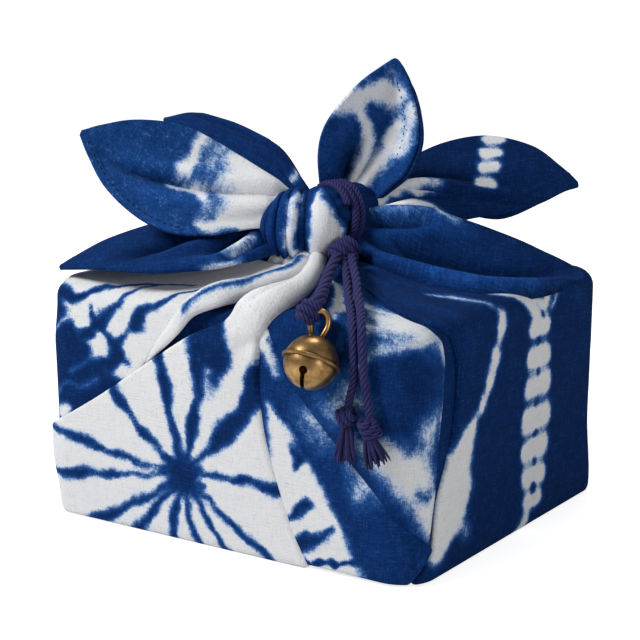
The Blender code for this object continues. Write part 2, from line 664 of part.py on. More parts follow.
def cord_wrap():
    """Three turns of cord side by side round the neck, as one ring with three raised strands."""
    steps, sides = 40, 14
    turn = np.linspace(0, 2 * np.pi, sides, endpoint=False)[None, :]
    around = np.linspace(0, 2 * np.pi, steps, endpoint=False)[:, None]
    along = (WRAP_PITCH + CORD_RADIUS) * np.cos(turn) + 0 * around
    nearest = np.clip(np.round(along / WRAP_PITCH), -1, 1) * WRAP_PITCH
    lobe = np.sqrt(np.clip(CORD_RADIUS ** 2 - (along - nearest) ** 2, 0.16, None))
    twist = 1 - 0.1 * np.cos(3 * (around * WRAP_RADIUS / (CORD_RADIUS * 4) + along / CORD_RADIUS))
    return closed_ring("cord_wrap", wrap_ring((along, np.sign(np.sin(turn)) * lobe * twist)), CORD_NAVY,
                       roughness=CORD_ROUGHNESS)


def tassel(side):
    """End knot of a tail with its frayed strands, their roots fused into the knot."""
    knot, foot, sway = TASSELS[side]
    head = bead("tassel_" + side, knot)
    turn = np.linspace(0, 2 * np.pi, 3, endpoint=False)[None, :, None]
    wide = np.array((0.4, 0.5, 0.34))[:, None, None]
    strands = []
    for row, (count, spread) in enumerate(STRAND_RINGS):
        for i in range(count):
            angle = 2 * math.pi * (i + 0.35 * row) / count
            x, y = spread * math.cos(angle), spread * math.sin(angle)
            top = np.array((knot.x + 0.7 * x, knot.y + 0.55 * y, knot.z - 2.6))
            end = np.array((knot.x + sway + 1.8 * x, knot.y + 0.8 * y, foot + 1.4 * math.sin(3.1 * i + row)))
            path = np.array([top, (top + end) / 2, end])
            rings = path[:, None] + wide * (np.cos(turn + i) * np.array((1, 0, 0))
                                            + np.sin(turn + i) * np.array((0, 1, 0)))
            strands.append(tube("strand", rings, CORD_NAVY))
    return boolean(head, "UNION", strands)


def bell_axes():
    """The leaning bell's own X, Y and Z as rows, with one end of its slot toward -Y."""
    up = np.array((0.0, math.sin(BELL_LEAN), math.cos(BELL_LEAN)))
    face = SLOT_FACES - up * (SLOT_FACES @ up)
    face /= np.linalg.norm(face)
    return np.array((np.cross(-face, up), -face, up))


def hang(body):
    """Turns and moves a piece made about the bell's centre to where the bell hangs."""
    place = Matrix(bell_axes().T.tolist()).to_4x4()
    place.translation = BELL_CENTRE * MM
    body.matrix_world = place
    return body


def turned(name, profile, steps, **finish):
    """Solid of a profile of (radius, height) rows turned about Z, with both its ends on the axis."""
    profile = np.array(profile)
    around = np.linspace(0, 2 * np.pi, steps, endpoint=False)[None, :]
    points = np.stack([profile[:, :1] * np.cos(around), profile[:, :1] * np.sin(around),
                       profile[:, 1:] + 0 * around], axis=-1)
    return new_object(name, points, grid_faces(len(profile), steps, closed=True), BRASS, **finish)


def dome(radius, degrees):
    """Rows of (radius, height) down a ball from its top."""
    return [(radius * math.sin(a), radius * math.cos(a)) for a in np.radians(degrees)]


def slot_way(degrees):
    """Direction out of the bell in the slot's plane, at an angle over its waist."""
    angle = math.radians(degrees)
    return np.array((0.0, -math.cos(angle), math.sin(angle)))


def slot_cutters():
    """Saw cut across the foot of the bell, and the round hole at each of its ends."""
    near, far = BELL_RADIUS - BELL_WALL - 2.5, BELL_RADIUS + 3
    half = np.array((SLOT_HALF, 0.0, 0.0))
    arc = np.array([slot_way(degrees) for degrees in np.linspace(*SLOT_ENDS, 14)])
    section = [arc * near - half, arc * near + half, arc * far + half, arc * far - half]
    cutters = [tube("slot", np.stack(section, axis=1), BRASS)]
    for degrees in SLOT_ENDS:
        way = slot_way(degrees)
        side = np.array([(1.0, 0.0, 0.0)] * 2)
        rings = rings_along(np.array([way * near, way * far]), side, np.cross(way, side),
                            SLOT_HOLE, SLOT_HOLE, 12)
        cutters.append(tube("hole", rings, BRASS))
    return cutters


def bell():
    """Hollow jingle bell: two half shells rolled together at the waist, with a keyhole slot."""
    upper = dome(BELL_RADIUS, range(0, 85, 12))
    lip = (WAIST_RADIUS - 0.25, WAIST_HALF)
    half = upper + [lip]
    profile = half + [(WAIST_RADIUS, 0.0)] + [(radius, -height) for radius, height in reversed(half)]
    shell = turned("bell", profile, 28, **BRASS_FINISH)
    cavity = turned("cavity", dome(BELL_RADIUS - BELL_WALL, np.arange(0, 181, 22.5)), 16)
    boolean(shell, "DIFFERENCE", [cavity] + slot_cutters())
    return hang(shell)


def wire(name, radius, sides):
    """The bell's hanging loop in its frame: up from the crown, round and down again."""
    angle = np.radians(np.linspace(-52, 232, 17))
    path = np.stack([LOOP_HALF * np.cos(angle), -0.3 * np.cos(angle), LOOP_CENTRE + LOOP_TALL * np.sin(angle)],
                    axis=1)
    ahead = np.gradient(path, axis=0)
    ahead /= np.linalg.norm(ahead, axis=1, keepdims=True)
    side = np.array((0.0, 1.0, 0.0)) - ahead * ahead[:, 1:2]
    side /= np.linalg.norm(side, axis=1, keepdims=True)
    rings = rings_along(path, side, np.cross(ahead, side), radius, radius, sides)
    return hang(tube(name, rings, BRASS, **BRASS_FINISH))


def gift_room():
    """The space that the gift fills, a wall's thickness inside the cloth."""
    fine = np.linspace(0, GIRTH, 1200)
    spread = crowded(fine)
    edge, outward = ring(np.interp(np.linspace(spread[0], spread[-1], 29)[:-1], spread, fine))
    flat = edge - outward * (SHEET + WALL)
    levels = [np.column_stack([flat, np.full(len(flat), z)]) for z in (WALL, BOX_HEIGHT - SHEET - WALL)]
    return tube("gift_room", np.array(levels), CLOTH_BLUE)


def mouth():
    """The deep fold beside the front right corner, where the cloth opens to the gift."""
    x = BOX_WIDTH / 2
    corners = [(MOUTH_Y - MOUTH_WIDTH / 2, MOUTH_FOOT), (MOUTH_Y + MOUTH_WIDTH / 2, MOUTH_FOOT),
               (MOUTH_Y + MOUTH_WIDTH / 2, MOUTH_TOP), (MOUTH_Y - MOUTH_WIDTH / 2, MOUTH_TOP)]
    return tube("mouth", np.array([[(x + dx, y, z) for y, z in corners] for dx in MOUTH_REACH]), CLOTH_BLUE)


def build():
    for old in list(bpy.data.objects):
        bpy.data.objects.remove(old, do_unlink=True)
    cloth = wrapped_box()
    layers = [flap(name, rails) for name, rails in FLAPS.items()]
    layers += [roll(name, rows) for name, rows in ROLLS.items()]
    layers += [knot(), neck()]
    layers += [leaf(shape) for shape in LEAVES]
    boolean(cloth, "UNION", layers, "MANIFOLD")
    fill_pockets(cloth)
    boolean(cloth, "DIFFERENCE", [wrap_groove(), gift_room(), mouth()], "MANIFOLD")
    cord_wrap()
    bead("cord_knot_neck", NECK_KNOT)
    boolean(bead("cord_knot_bell", BELL_KNOT), "DIFFERENCE", [wire("clearance", LOOP_WIRE + 1.6 * GAP, 8)])
    rope("cord_bell_strand", BELL_STRAND, STRAND_RADIUS, 1.8)
    rope("cord_left_tail", LEFT_TAIL, CORD_RADIUS, 1.6)
    rope("cord_right_tail", RIGHT_TAIL, CORD_RADIUS, 1.6)
    for side in TASSELS:
        tassel(side)
    bell()
    wire("bell_loop", LOOP_WIRE, 8)

build()
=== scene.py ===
# A furoshiki: one square of tie-dyed cotton knotted over a gift box, hung with a cord and a brass bell.
# Lengths in the dictionaries are millimetres; meshes, bumps and lamps are in metres.
import math
import bmesh
import bpy
import numpy as np
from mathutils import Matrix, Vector


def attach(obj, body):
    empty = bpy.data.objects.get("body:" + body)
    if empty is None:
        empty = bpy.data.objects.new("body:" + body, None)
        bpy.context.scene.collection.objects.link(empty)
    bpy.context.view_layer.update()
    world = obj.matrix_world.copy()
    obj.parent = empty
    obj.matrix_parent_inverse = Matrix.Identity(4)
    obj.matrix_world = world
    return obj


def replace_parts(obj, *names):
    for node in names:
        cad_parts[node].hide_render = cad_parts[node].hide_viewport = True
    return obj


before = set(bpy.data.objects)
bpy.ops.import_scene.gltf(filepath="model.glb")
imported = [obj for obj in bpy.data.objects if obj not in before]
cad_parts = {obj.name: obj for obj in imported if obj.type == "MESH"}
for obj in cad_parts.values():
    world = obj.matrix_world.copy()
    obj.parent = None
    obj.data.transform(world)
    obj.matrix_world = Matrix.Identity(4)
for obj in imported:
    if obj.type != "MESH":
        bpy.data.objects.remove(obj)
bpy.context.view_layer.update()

mm = 0.001
tau = 2 * math.pi

# The bow lies along `across`; `outward` points square away from it over the front right corner.
across = np.array((0.831, 0.556, 0.0))
outward = np.array((0.556, -0.831, 0.0))
upward = np.array((0.0, 0.0, 1.0))

camera = {"azimuth": 33.78, "elevation": 12.61, "distance": 713.5, "target": (-11.9, 10.6, 68.9),
          "lens": 101.25}


def placeCamera(setting):
    turn, rise = math.radians(setting["azimuth"]), math.radians(setting["elevation"])
    back = Vector((math.sin(turn) * math.cos(rise), -math.cos(turn) * math.cos(rise), math.sin(rise)))
    data = bpy.data.cameras.new("studioCamera")
    data.lens, data.clip_start, data.clip_end = setting["lens"], 0.01, 20
    eye = bpy.data.objects.new("studioCamera", data)
    eye.location = (Vector(setting["target"]) + back * setting["distance"]) * mm
    eye.rotation_mode = "QUATERNION"
    eye.rotation_quaternion = (-back).to_track_quat("-Z", "Y")
    bpy.context.scene.collection.objects.link(eye)
    bpy.context.scene.camera = eye


placeCamera(camera)
print("camera placed")


def editMesh(mesh, edit):
    work = bmesh.new()
    work.from_mesh(mesh)
    edit(work)
    work.to_mesh(mesh)
    work.free()


def gridPiece(name, points, material, loopColumns=False, uv=None, marks=None, merge=False, body="root"):
    # Quads between neighbours of a grid of points, rows by columns, or of many such grids at once.
    points = points if points.ndim == 4 else points[None]
    index = np.arange(points.size // 3).reshape(points.shape[:3])
    if loopColumns:
        index = np.concatenate([index, index[:, :, :1]], axis=2)
    corners = lambda grid: np.stack([grid[:, :-1, :-1], grid[:, :-1, 1:], grid[:, 1:, 1:], grid[:, 1:, :-1]],
                                    axis=-1).reshape(-1, 4)
    mesh = bpy.data.meshes.new(name)
    mesh.from_pydata((points.reshape(-1, 3) * mm).tolist(), [], corners(index).tolist())
    if uv is not None:
        places = corners(np.arange(index.size).reshape(index.shape)).ravel()
        flat = np.broadcast_to(uv, index.shape + (2,)).reshape(-1, 2)[places]
        mesh.uv_layers.new(name="cloth").data.foreach_set("uv", flat.ravel())
    for key, values in (marks or {}).items():
        mesh.attributes.new(key, "FLOAT", "POINT").data.foreach_set(
            "value", np.broadcast_to(values, points.shape[:3]).ravel().astype(np.float32))
    if merge:
        editMesh(mesh, lambda work: bmesh.ops.remove_doubles(work, verts=work.verts, dist=1e-6))
    mesh.shade_smooth()
    mesh.materials.append(material)
    piece = bpy.data.objects.new(name, mesh)
    bpy.context.scene.collection.objects.link(piece)
    if body:
        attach(piece, body)
    return piece


def flatMap(u, v):
    # A piece's own flat place, (u, v) in millimetres, at each point of its grid.
    return np.stack(np.broadcast_arrays(u, v), axis=-1)


def smoothRows(rows, count):
    # Catmull-Rom rows through the given ones: `count` evenly spread, or one at each place that it lists.
    rows = np.array(rows, float)
    ends = np.vstack([2 * rows[0] - rows[1], rows, 2 * rows[-1] - rows[-2]])
    place = np.linspace(0, len(rows) - 1, count) if np.isscalar(count) else np.asarray(count)
    first = np.clip(place.astype(int), 0, len(rows) - 2)
    t = (place - first)[:, None]
    a, b, c, d = (ends[first + i] for i in range(4))
    square, cube = 2 * a - 5 * b + 4 * c - d, 3 * b - a - 3 * c + d
    return 0.5 * (2 * b + (c - a) * t + square * t ** 2 + cube * t ** 3)


def lengthAlong(path):
    return np.concatenate([[0], np.cumsum(np.linalg.norm(np.diff(path, axis=0), axis=1))])


def evenPath(points, step):
    # Smooth curve through the points, and the length gone at each of its even steps.
    fine = smoothRows(points, 60 * len(points))
    gone = lengthAlong(fine)
    at = np.linspace(0, gone[-1], round(gone[-1] / step) + 1)
    return np.stack([np.interp(at, gone, fine[:, i]) for i in range(3)], axis=1), at


def unit(vectors):
    return vectors / np.linalg.norm(vectors, axis=-1, keepdims=True)


def smoothStep(low, high, x):
    # 0 at low and 1 at high, or the other way round where low is the greater.
    t = np.clip((x - low) / (high - low), 0, 1)
    return t * t * (3 - 2 * t)


def turnAround(count):
    return np.linspace(0, tau, count, endpoint=False)[None, :]


def carried(path, lift, wide, tall, angle):
    # Rings round a path: points of an ellipse that reaches `wide` to the side and `tall` towards the lift.
    ahead = unit(np.gradient(path, axis=0))
    lift = unit(lift - ahead * np.sum(lift * ahead, axis=1, keepdims=True))
    side = np.cross(ahead, lift)
    return (path[:, None] + side[:, None] * (wide * np.cos(angle))[..., None]
            + lift[:, None] * (tall * np.sin(angle))[..., None])


def feed(tree, socket, value):
    # Gives an input a plain value, or links to it what another node puts out.
    value = getattr(value, "socket", value)
    if isinstance(value, bpy.types.NodeSocket):
        tree.links.new(value, socket)
    else:
        socket.default_value = value


def addNode(tree, kind, values=None, **settings):
    node = tree.nodes.new(kind)
    for key, value in settings.items():
        setattr(node, key, value)
    for key, value in (values or {}).items():
        feed(tree, node.inputs[key], value)
    return node


class Signal:
    # One number inside a shader: each + - * or named operation on it adds a Math node to the tree.
    def __init__(self, tree, socket):
        self.tree, self.socket = tree, socket

    def maths(self, operation, *others):
        node = addNode(self.tree, "ShaderNodeMath", dict(enumerate((self, *others))), operation=operation)
        return Signal(self.tree, node.outputs[0])

    def __add__(self, other):
        return self.maths("ADD", other)

    def __sub__(self, other):
        return self.maths("SUBTRACT", other)

    def __mul__(self, other):
        return self.maths("MULTIPLY", other)


def attribute(tree, name):
    return Signal(tree, addNode(tree, "ShaderNodeAttribute", attribute_name=name).outputs["Fac"])


def noise(tree, vector, scale, detail, roughness):
    values = {"Vector": vector, "Scale": scale, "Detail": detail, "Roughness": roughness}
    return Signal(tree, addNode(tree, "ShaderNodeTexNoise", values).outputs["Fac"])


def streaks(tree, vector, scaleU, scaleV, detail, roughness):
    # Noise drawn out by a different scale along each thread direction.
    drawn = addNode(tree, "ShaderNodeMapping", {"Vector": vector, "Scale": (scaleU, scaleV, 1)}).outputs[0]
    return noise(tree, drawn, 1.0, detail, roughness)


def threadNoise(tree, vector, fine, coarse, detail, roughness):
    # Streaks along both threads together, round 0.
    return (streaks(tree, vector, fine, coarse, detail, roughness)
            + streaks(tree, vector, coarse, fine, detail, roughness) - 1.0)


def mapParts(tree, vector):
    return [Signal(tree, part) for part in addNode(tree, "ShaderNodeSeparateXYZ", {0: vector}).outputs[:2]]


def ramp(tree, value, stops):
    node = addNode(tree, "ShaderNodeValToRGB", {"Fac": value})
    while len(node.color_ramp.elements) < len(stops):
        node.color_ramp.elements.new(0.5)
    for element, (place, colour) in zip(node.color_ramp.elements, stops):
        element.position = place
        element.color = (*colour, 1) if hasattr(colour, "__len__") else (colour, colour, colour, 1)
    return node.outputs[0]


def mixColour(tree, share, first, second):
    node = addNode(tree, "ShaderNodeMix", data_type="RGBA")
    for key, value in (("Factor", share), (6, first), (7, second)):
        feed(tree, node.inputs[key], (*value, 1) if isinstance(value, tuple) else value)
    return node.outputs[2]


def scaled(tree, colour, factor):
    return addNode(tree, "ShaderNodeVectorMath", {0: colour, "Scale": factor}, operation="SCALE").outputs[0]


def bumpOf(tree, height, strength, distance):
    values = {"Height": height, "Strength": strength, "Distance": distance}
    return addNode(tree, "ShaderNodeBump", values).outputs[0]


def nodeGroup(name, inputs, outputs):
    tree = bpy.data.node_groups.new(name, "ShaderNodeTree")
    for way, sockets in (("INPUT", inputs), ("OUTPUT", outputs)):
        for label, kind in sockets.items():
            tree.interface.new_socket(label, in_out=way, socket_type="NodeSocket" + kind)
    return tree, tree.nodes.new("NodeGroupInput").outputs, tree.nodes.new("NodeGroupOutput").inputs


def newMaterial(name):
    material = bpy.data.materials.new(name)
    material.use_nodes = True
    return material, material.node_tree


def dress(material, values):
    # Sets or links inputs of the material's own shader.
    tree = material.node_tree
    for key, value in values.items():
        feed(tree, tree.nodes["Principled BSDF"].inputs[key], value)
    return material


# A noise is (scale, detail, roughness); streaks have one scale across a thread and one along it.
cotton = {
    "pitch": 0.55, "crossing": 0.3, "crossingShade": 0.06, "slub": 2.4,
    "noise": {"bleed": (0.7, 4.0, 0.6), "cloud": (0.22, 3.0, 0.6), "patch": (0.06, 3.0, 0.6)},
    "streaks": {"slubs": (1.9, 0.16, 3.0, 0.6), "hairs": (2.4, 0.5, 2.0, 0.6)},
    "fray": {"bleed": 0.8, "hairs": 0.6, "cloud": 0.8}, "patch": 0.5, "least": 0.6,
    "stops": [(0.0, (0.86, 0.86, 0.86)), (0.20, (0.79, 0.82, 0.87)), (0.34, (0.42, 0.54, 0.75)),
              (0.46, (0.085, 0.19, 0.44)), (0.60, (0.011, 0.064, 0.25)), (0.78, (0.0035, 0.032, 0.155)),
              (1.0, (0.0022, 0.019, 0.095))],
    # Specks are undyed thread; the colour for the gaps between threads is painted shade.
    "speck": 0.6, "thread": (0.06, 0.19, 0.48), "gap": 0.75, "hollow": (0.02, 0.04, 0.11),
    # How strongly the mesh's painted shade in troughs and painted highlight on ridges, partly wear, darken
    # and lighten the dye.
    "shadingAndWear": 0.4, "shadingAndWearOffset": 0.14,
    "roughness": 0.95, "bump": 0.8, "relief": 0.0002, "gloss": 0.03, "sheen": 0.01, "sheenRoughness": 0.45,
}


def buildWeave(setting):
    # Plain weave of slubby thread: crossing sines for the threads and long noise for thick and thin places.
    tree, given, out = nodeGroup("linenWeave", {"Vector": "Vector"}, {"Height": "Float", "Shade": "Float"})
    place = given["Vector"]
    u, v = (part * (math.pi / setting["pitch"]) for part in mapParts(tree, place))
    crossing = u.maths("SINE") * v.maths("SINE")
    slubs = threadNoise(tree, place, *setting["streaks"]["slubs"])
    feed(tree, out["Height"], crossing * setting["crossing"] + slubs * setting["slub"])
    feed(tree, out["Shade"], slubs + crossing * setting["crossingShade"])
    return tree


def buildDye(setting):
    # Ink runs from -1, bare cotton, to 1, full indigo; noise frays its edge along the threads.
    inputs = {"Ink": "Float", "Vector": "Vector", "Shade": "Float", "ShadingAndWear": "Float"}
    tree, given, out = nodeGroup("indigoDye", inputs, {"Colour": "Color"})
    ink, shade, shadingAndWear = (Signal(tree, given[label]) for label in ("Ink", "Shade", "ShadingAndWear"))
    place, fray = given["Vector"], setting["fray"]
    bleed, cloud, patch = (noise(tree, place, *setting["noise"][key]) - 0.5
                           for key in ("bleed", "cloud", "patch"))
    hairs = threadNoise(tree, place, *setting["streaks"]["hairs"])
    frayed = bleed * fray["bleed"] + hairs * fray["hairs"] + cloud * fray["cloud"]
    cover = (ink + frayed) * 0.5 + 0.5
    depth = (cover + patch * setting["patch"]).maths("MAXIMUM", setting["least"])
    dye = ramp(tree, cover.maths("MINIMUM", depth), setting["stops"])
    # Above 0 the weave's shade mixes in undyed thread; below 0 it mixes in a dark colour that is painted
    # shade between the threads.
    speck = shade.maths("MAXIMUM", 0.0) * setting["speck"]
    gap = (shade * -1.0).maths("MAXIMUM", 0.0) * setting["gap"]
    woven = mixColour(tree, gap, mixColour(tree, speck, dye, setting["thread"]), setting["hollow"])
    # Painted shade in troughs and painted highlight on ridges, partly wear, stronger where the dye is deep.
    shadingAndWearStrength = cover.maths("MINIMUM", 1.0) * setting["shadingAndWear"] + setting["shadingAndWearOffset"]
    feed(tree, out["Colour"], scaled(tree, woven, shadingAndWear * shadingAndWearStrength + 1.0))
    return tree


def clothMaterial(name, setting):
    # Weave and dye lie on the cloth's own flat map; `ink` and a number for painted shade and highlight,
    # partly wear, lie at the mesh's points.
    material, tree = newMaterial(name)
    place = addNode(tree, "ShaderNodeUVMap", uv_map="cloth").outputs[0]
    threads = addNode(tree, "ShaderNodeGroup", {"Vector": place}, node_tree=buildWeave(setting)).outputs
    values = {"Ink": attribute(tree, "ink"), "Vector": place, "Shade": threads["Shade"],
              "ShadingAndWear": attribute(tree, "shadingAndWear")}
    coat = addNode(tree, "ShaderNodeGroup", values, node_tree=buildDye(setting)).outputs["Colour"]
    return dress(material, {
        "Base Color": coat, "Normal": bumpOf(tree, threads["Height"], setting["bump"], setting["relief"]),
        "Roughness": setting["roughness"], "Specular IOR Level": setting["gloss"],
        "Sheen Weight": setting["sheen"], "Sheen Roughness": setting["sheenRoughness"]})


# Yarns lie `round` and `along` a strand; `fluff` is its streaks. The strength and base of the painted
# highlight on strand crowns and painted shade in their grooves follow the stops.
strandYarn = {
    "round": 16.0, "along": 3.0, "depth": 0.07, "fluff": (5.0, 1.5, 4.0, 0.7), "contrast": 0.8,
    "stops": (0.12, 0.85), "shadingAndWear": 0.9, "shadingAndWearOffset": 1.05, "bump": 0.5, "relief": 0.00012, "gloss": 0.2,
}
twine = {"dark": (0.005, 0.005, 0.032), "light": (0.033, 0.034, 0.158), "roughness": 0.72, "sheen": 0.03}
hemThread = {"dark": (0.002, 0.006, 0.03), "light": (0.008, 0.022, 0.10), "roughness": 0.8, "sheen": 0.0}


def cordMaterial(name, setting):
    # Fine yarns lie aslant on each strand: sines of the piece's own (round, along) map, broken by noise.
    material, tree = newMaterial(name)
    place = addNode(tree, "ShaderNodeUVMap", uv_map="cloth").outputs[0]
    around, along = mapParts(tree, place)
    yarn = (around * strandYarn["round"] + along * strandYarn["along"]).maths("SINE")
    height = yarn * strandYarn["depth"] + streaks(tree, place, *strandYarn["fluff"])
    # Colour runs from dark to light with the same height that bumps the yarns: random fibre tone, with
    # painted shade in its hollows and painted highlight on its crests.
    stops = list(zip(strandYarn["stops"], (setting["dark"], setting["light"])))
    # Painted highlight on each strand's crown and painted shade in the grooves between strands.
    paintedStrandLight = attribute(tree, "shadingAndWear") * strandYarn["shadingAndWear"] + strandYarn["shadingAndWearOffset"]
    return dress(material, {
        "Base Color": scaled(tree, ramp(tree, height * strandYarn["contrast"], stops), paintedStrandLight),
        "Normal": bumpOf(tree, height, strandYarn["bump"], strandYarn["relief"]),
        "Roughness": setting["roughness"], "Specular IOR Level": strandYarn["gloss"],
        "Sheen Weight": setting["sheen"]})


brass = {
    "stops": [(0.42, (0.66, 0.42, 0.17)), (0.80, (0.27, 0.145, 0.055))], "dirt": (0.05, 0.03, 0.015),
    "cloud": (260.0, 4.0, 0.6), "fine": (2600.0, 3.0, 0.7), "fineShare": 0.25, "leastDirt": 0.45,
    "roughness": [(0.4, 0.25), (0.8, 0.42)], "bump": 0.25, "relief": 0.00006,
}


def brassMaterial(name, setting):
    # Clouds of age on bright metal, dirt where `tarnish` is high at the mesh's points.
    material, tree = newMaterial(name)
    place = addNode(tree, "ShaderNodeTexCoord").outputs["Object"]
    cloud, fine = (noise(tree, place, *setting[key]) for key in ("cloud", "fine"))
    age = cloud + fine * setting["fineShare"]
    metal = ramp(tree, age, setting["stops"])
    dirt = attribute(tree, "tarnish") * (fine + setting["leastDirt"])
    return dress(material, {
        "Base Color": mixColour(tree, dirt, metal, setting["dirt"]), "Metallic": 1.0,
        "Roughness": ramp(tree, age, setting["roughness"]),
        "Normal": bumpOf(tree, fine + cloud, setting["bump"], setting["relief"])})


dyedCotton = clothMaterial("dyedCotton", cotton)
navyCord = cordMaterial("navyCord", twine)
stitchThread = cordMaterial("stitchThread", hemThread)
agedBrass = brassMaterial("agedBrass", brass)
print("materials made")


knotCentre = np.array((-6.0, -6.0, 110.0))
wrapTurn = math.radians(-37.0)
wrapAxis = across * math.cos(wrapTurn) + outward * math.sin(wrapTurn)
wrapSide = np.cross(upward, wrapAxis)
wrapCentre = knotCentre + across * 11.5 - outward + upward * 4.6

laid = {"strands": 5, "columns": 30, "strand": 0.49, "offset": 0.51, "mapWide": 1.6}
wrap = {"turns": 3, "reach": 12.5, "rise": 11.4, "pitch": 3.0, "radius": 1.47, "lay": 9.0, "lead": 0.4,
        "steps": 520}
# A cord's radius and lay are (length gone, value) pairs; it goes on into the knot that ends it.
bellStrand = {
    "radius": [(0, 2.0), (34, 2.2), (52, 2.8)], "lay": [(0, 36.0), (60, 30.0)], "into": (39.6, -72.0, 94.0),
    "path": [(16.6, -20.2, 102.6), (20.7, -29.8, 101.0), (25.3, -40.0, 99.1), (32.0, -53.3, 97.1),
             (36.8, -62.7, 96.1), (38.7, -66.8, 96.0)],
}
leftTail = {
    "radius": [(0, 1.6), (70, 1.55), (110, 1.4)], "lay": [(0, 32.0), (50, 26.0), (66, 10.5), (120, 9.5)],
    "into": (57.0, -76.0, 60.6),
    "path": [(17.4, -17.2, 100.6), (24.3, -26.6, 99.5), (32.8, -38.8, 98.0), (41.7, -51.8, 96.1),
             (49.8, -63.1, 94.3), (56.4, -71.6, 91.1), (58.2, -73.9, 85.8), (58.6, -74.3, 79.0),
             (58.6, -74.5, 72.2), (57.6, -75.3, 66.4)],
}
rightTail = {
    "radius": [(0, 1.6), (70, 1.6), (110, 1.45)], "lay": [(0, 32.0), (50, 26.0), (66, 10.5), (120, 9.5)],
    "into": (66.0, -76.1, 58.4),
    "path": [(20.9, -17.4, 102.3), (29.4, -29.3, 101.1), (38.2, -41.2, 99.3), (46.8, -53.6, 97.1),
             (54.2, -63.6, 94.9), (60.4, -72.4, 91.4), (61.7, -74.3, 85.8), (62.4, -74.6, 80.0),
             (63.0, -74.8, 73.6), (64.0, -75.0, 68.2), (65.4, -75.4, 63.9)],
}
# Each knot is a short coil round its axis, given as (right, up, near), drawn in at both ends to a ball.
cordKnots = {
    "neckKnot": {"centre": (14.8, -13.4, 102.4), "axis": (-0.76, -0.50, 0.42), "coil": 4.4, "pitch": 2.7,
                 "turns": 3.8, "start": 0.2, "radius": 1.36},
    "bellKnot": {"centre": (41.3, -75.9, 94.2), "axis": (-0.66, -0.66, 0.36), "coil": 3.2, "pitch": 2.6,
                 "turns": 2.8, "start": 0.1, "radius": 1.4},
    "leftTailKnot": {"centre": (57.0, -76.0, 60.2), "axis": (0.84, 0.40, 0.36), "coil": 2.6, "pitch": 2.0,
                     "turns": 2.9, "start": 0.4, "radius": 1.2},
    "rightTailKnot": {"centre": (66.0, -76.1, 57.4), "axis": (-0.45, 0.84, 0.32), "coil": 2.4, "pitch": 2.25,
                      "turns": 3.3, "start": 0.3, "radius": 1.25},
}
# `belly` is how much a coil bulges in its middle, `drawn` the share of it over which an end turns in.
knotCoil = {"steps": 360, "lay": 8.0, "belly": 0.20, "past": 0.04, "drawn": 0.10}
frays = {
    "leftFray": {"centre": (57.2, -76.0, 60.2), "foot": 44.0, "sway": -0.8, "tilt": 0.1},
    "rightFray": {"centre": (66.2, -76.1, 57.6), "foot": 45.6, "sway": 3.2, "tilt": 0.5},
}
yarns = {
    "count": 22, "sides": 5, "wide": 4.9, "deep": 2.3, "top": 2.0, "curl": 0.25, "near": 0.4, "uneven": 0.9,
    "tip": 0.3, "mapLong": 16, "mapWide": 2, "radius": 0.72, "spread": (0.75, 1.15), "inner": 0.02,
    "tilting": 5, "bend": 4, "root": 0.30, "fanPower": 0.9, "swayPower": 1.2,
    "radii": (0.8, 1, 1, 1.05, 1, 1, 0.95, 0.8, 0.35),
}


def rope(name, path, gone, lift, radius, lay):
    # Strands laid together: the outline of merged circles, turned once each `lay` of length.
    around, half = turnAround(laid["columns"]), tau / (2 * laid["strands"])
    radius, lay = np.broadcast_to(radius, gone.shape)[:, None], np.broadcast_to(lay, gone.shape)
    twist = -tau * np.concatenate([[0], np.cumsum(np.diff(gone) / lay[1:])])[:, None]
    lobe = np.mod(around + half, 2 * half) - half
    strand, offset = laid["strand"], laid["offset"]
    outline = radius * (offset * np.cos(lobe) + np.sqrt(strand ** 2 - (offset * np.sin(lobe)) ** 2))
    # Both ends round off over 0.6 of a radius.
    outline = outline * np.sqrt(np.clip(np.minimum(gone, gone[-1] - gone)[:, None] / (0.6 * radius), 0, 1))
    uv = flatMap(np.concatenate([lobe, lobe[:, :1]], axis=1) * laid["mapWide"], gone[:, None])
    # The strands' crowns are painted lighter and the grooves between them darker: painted highlight and
    # shade.
    return gridPiece(name, carried(path, lift, outline, outline, around + twist), navyCord, loopColumns=True,
                     uv=uv, merge=True, marks={"shadingAndWear": 1 - 2 * (lobe / half) ** 2})


def freeRun(name, setting):
    path, gone = evenPath(setting["path"] + [setting["into"]], 0.3)
    radius, lay = (np.interp(gone, *zip(*setting[key])) for key in ("radius", "lay"))
    run = rope(name, path, gone, np.broadcast_to(upward + outward * 0.9, path.shape), radius, lay)
    return run, path, gone[-1]


def wrapTurns():
    # Helix of turns side by side: reach out from the neck's axis, one pitch along it each turn.
    turn = np.linspace(wrap["lead"], tau * wrap["turns"] - wrap["lead"], wrap["steps"])[:, None]
    along = (turn / tau - wrap["turns"] / 2) * wrap["pitch"]
    flatter = np.where(np.sin(turn) > 0, wrap["rise"] / wrap["reach"], 1)
    out = upward * np.sin(turn) * flatter - wrapSide * np.cos(turn)
    path = wrapCentre + wrapAxis * along + out * wrap["reach"]
    gone = turn[:, 0] * wrap["reach"]
    return rope("cordWrapTurns", path, gone - gone[0], unit(out), wrap["radius"], wrap["lay"])


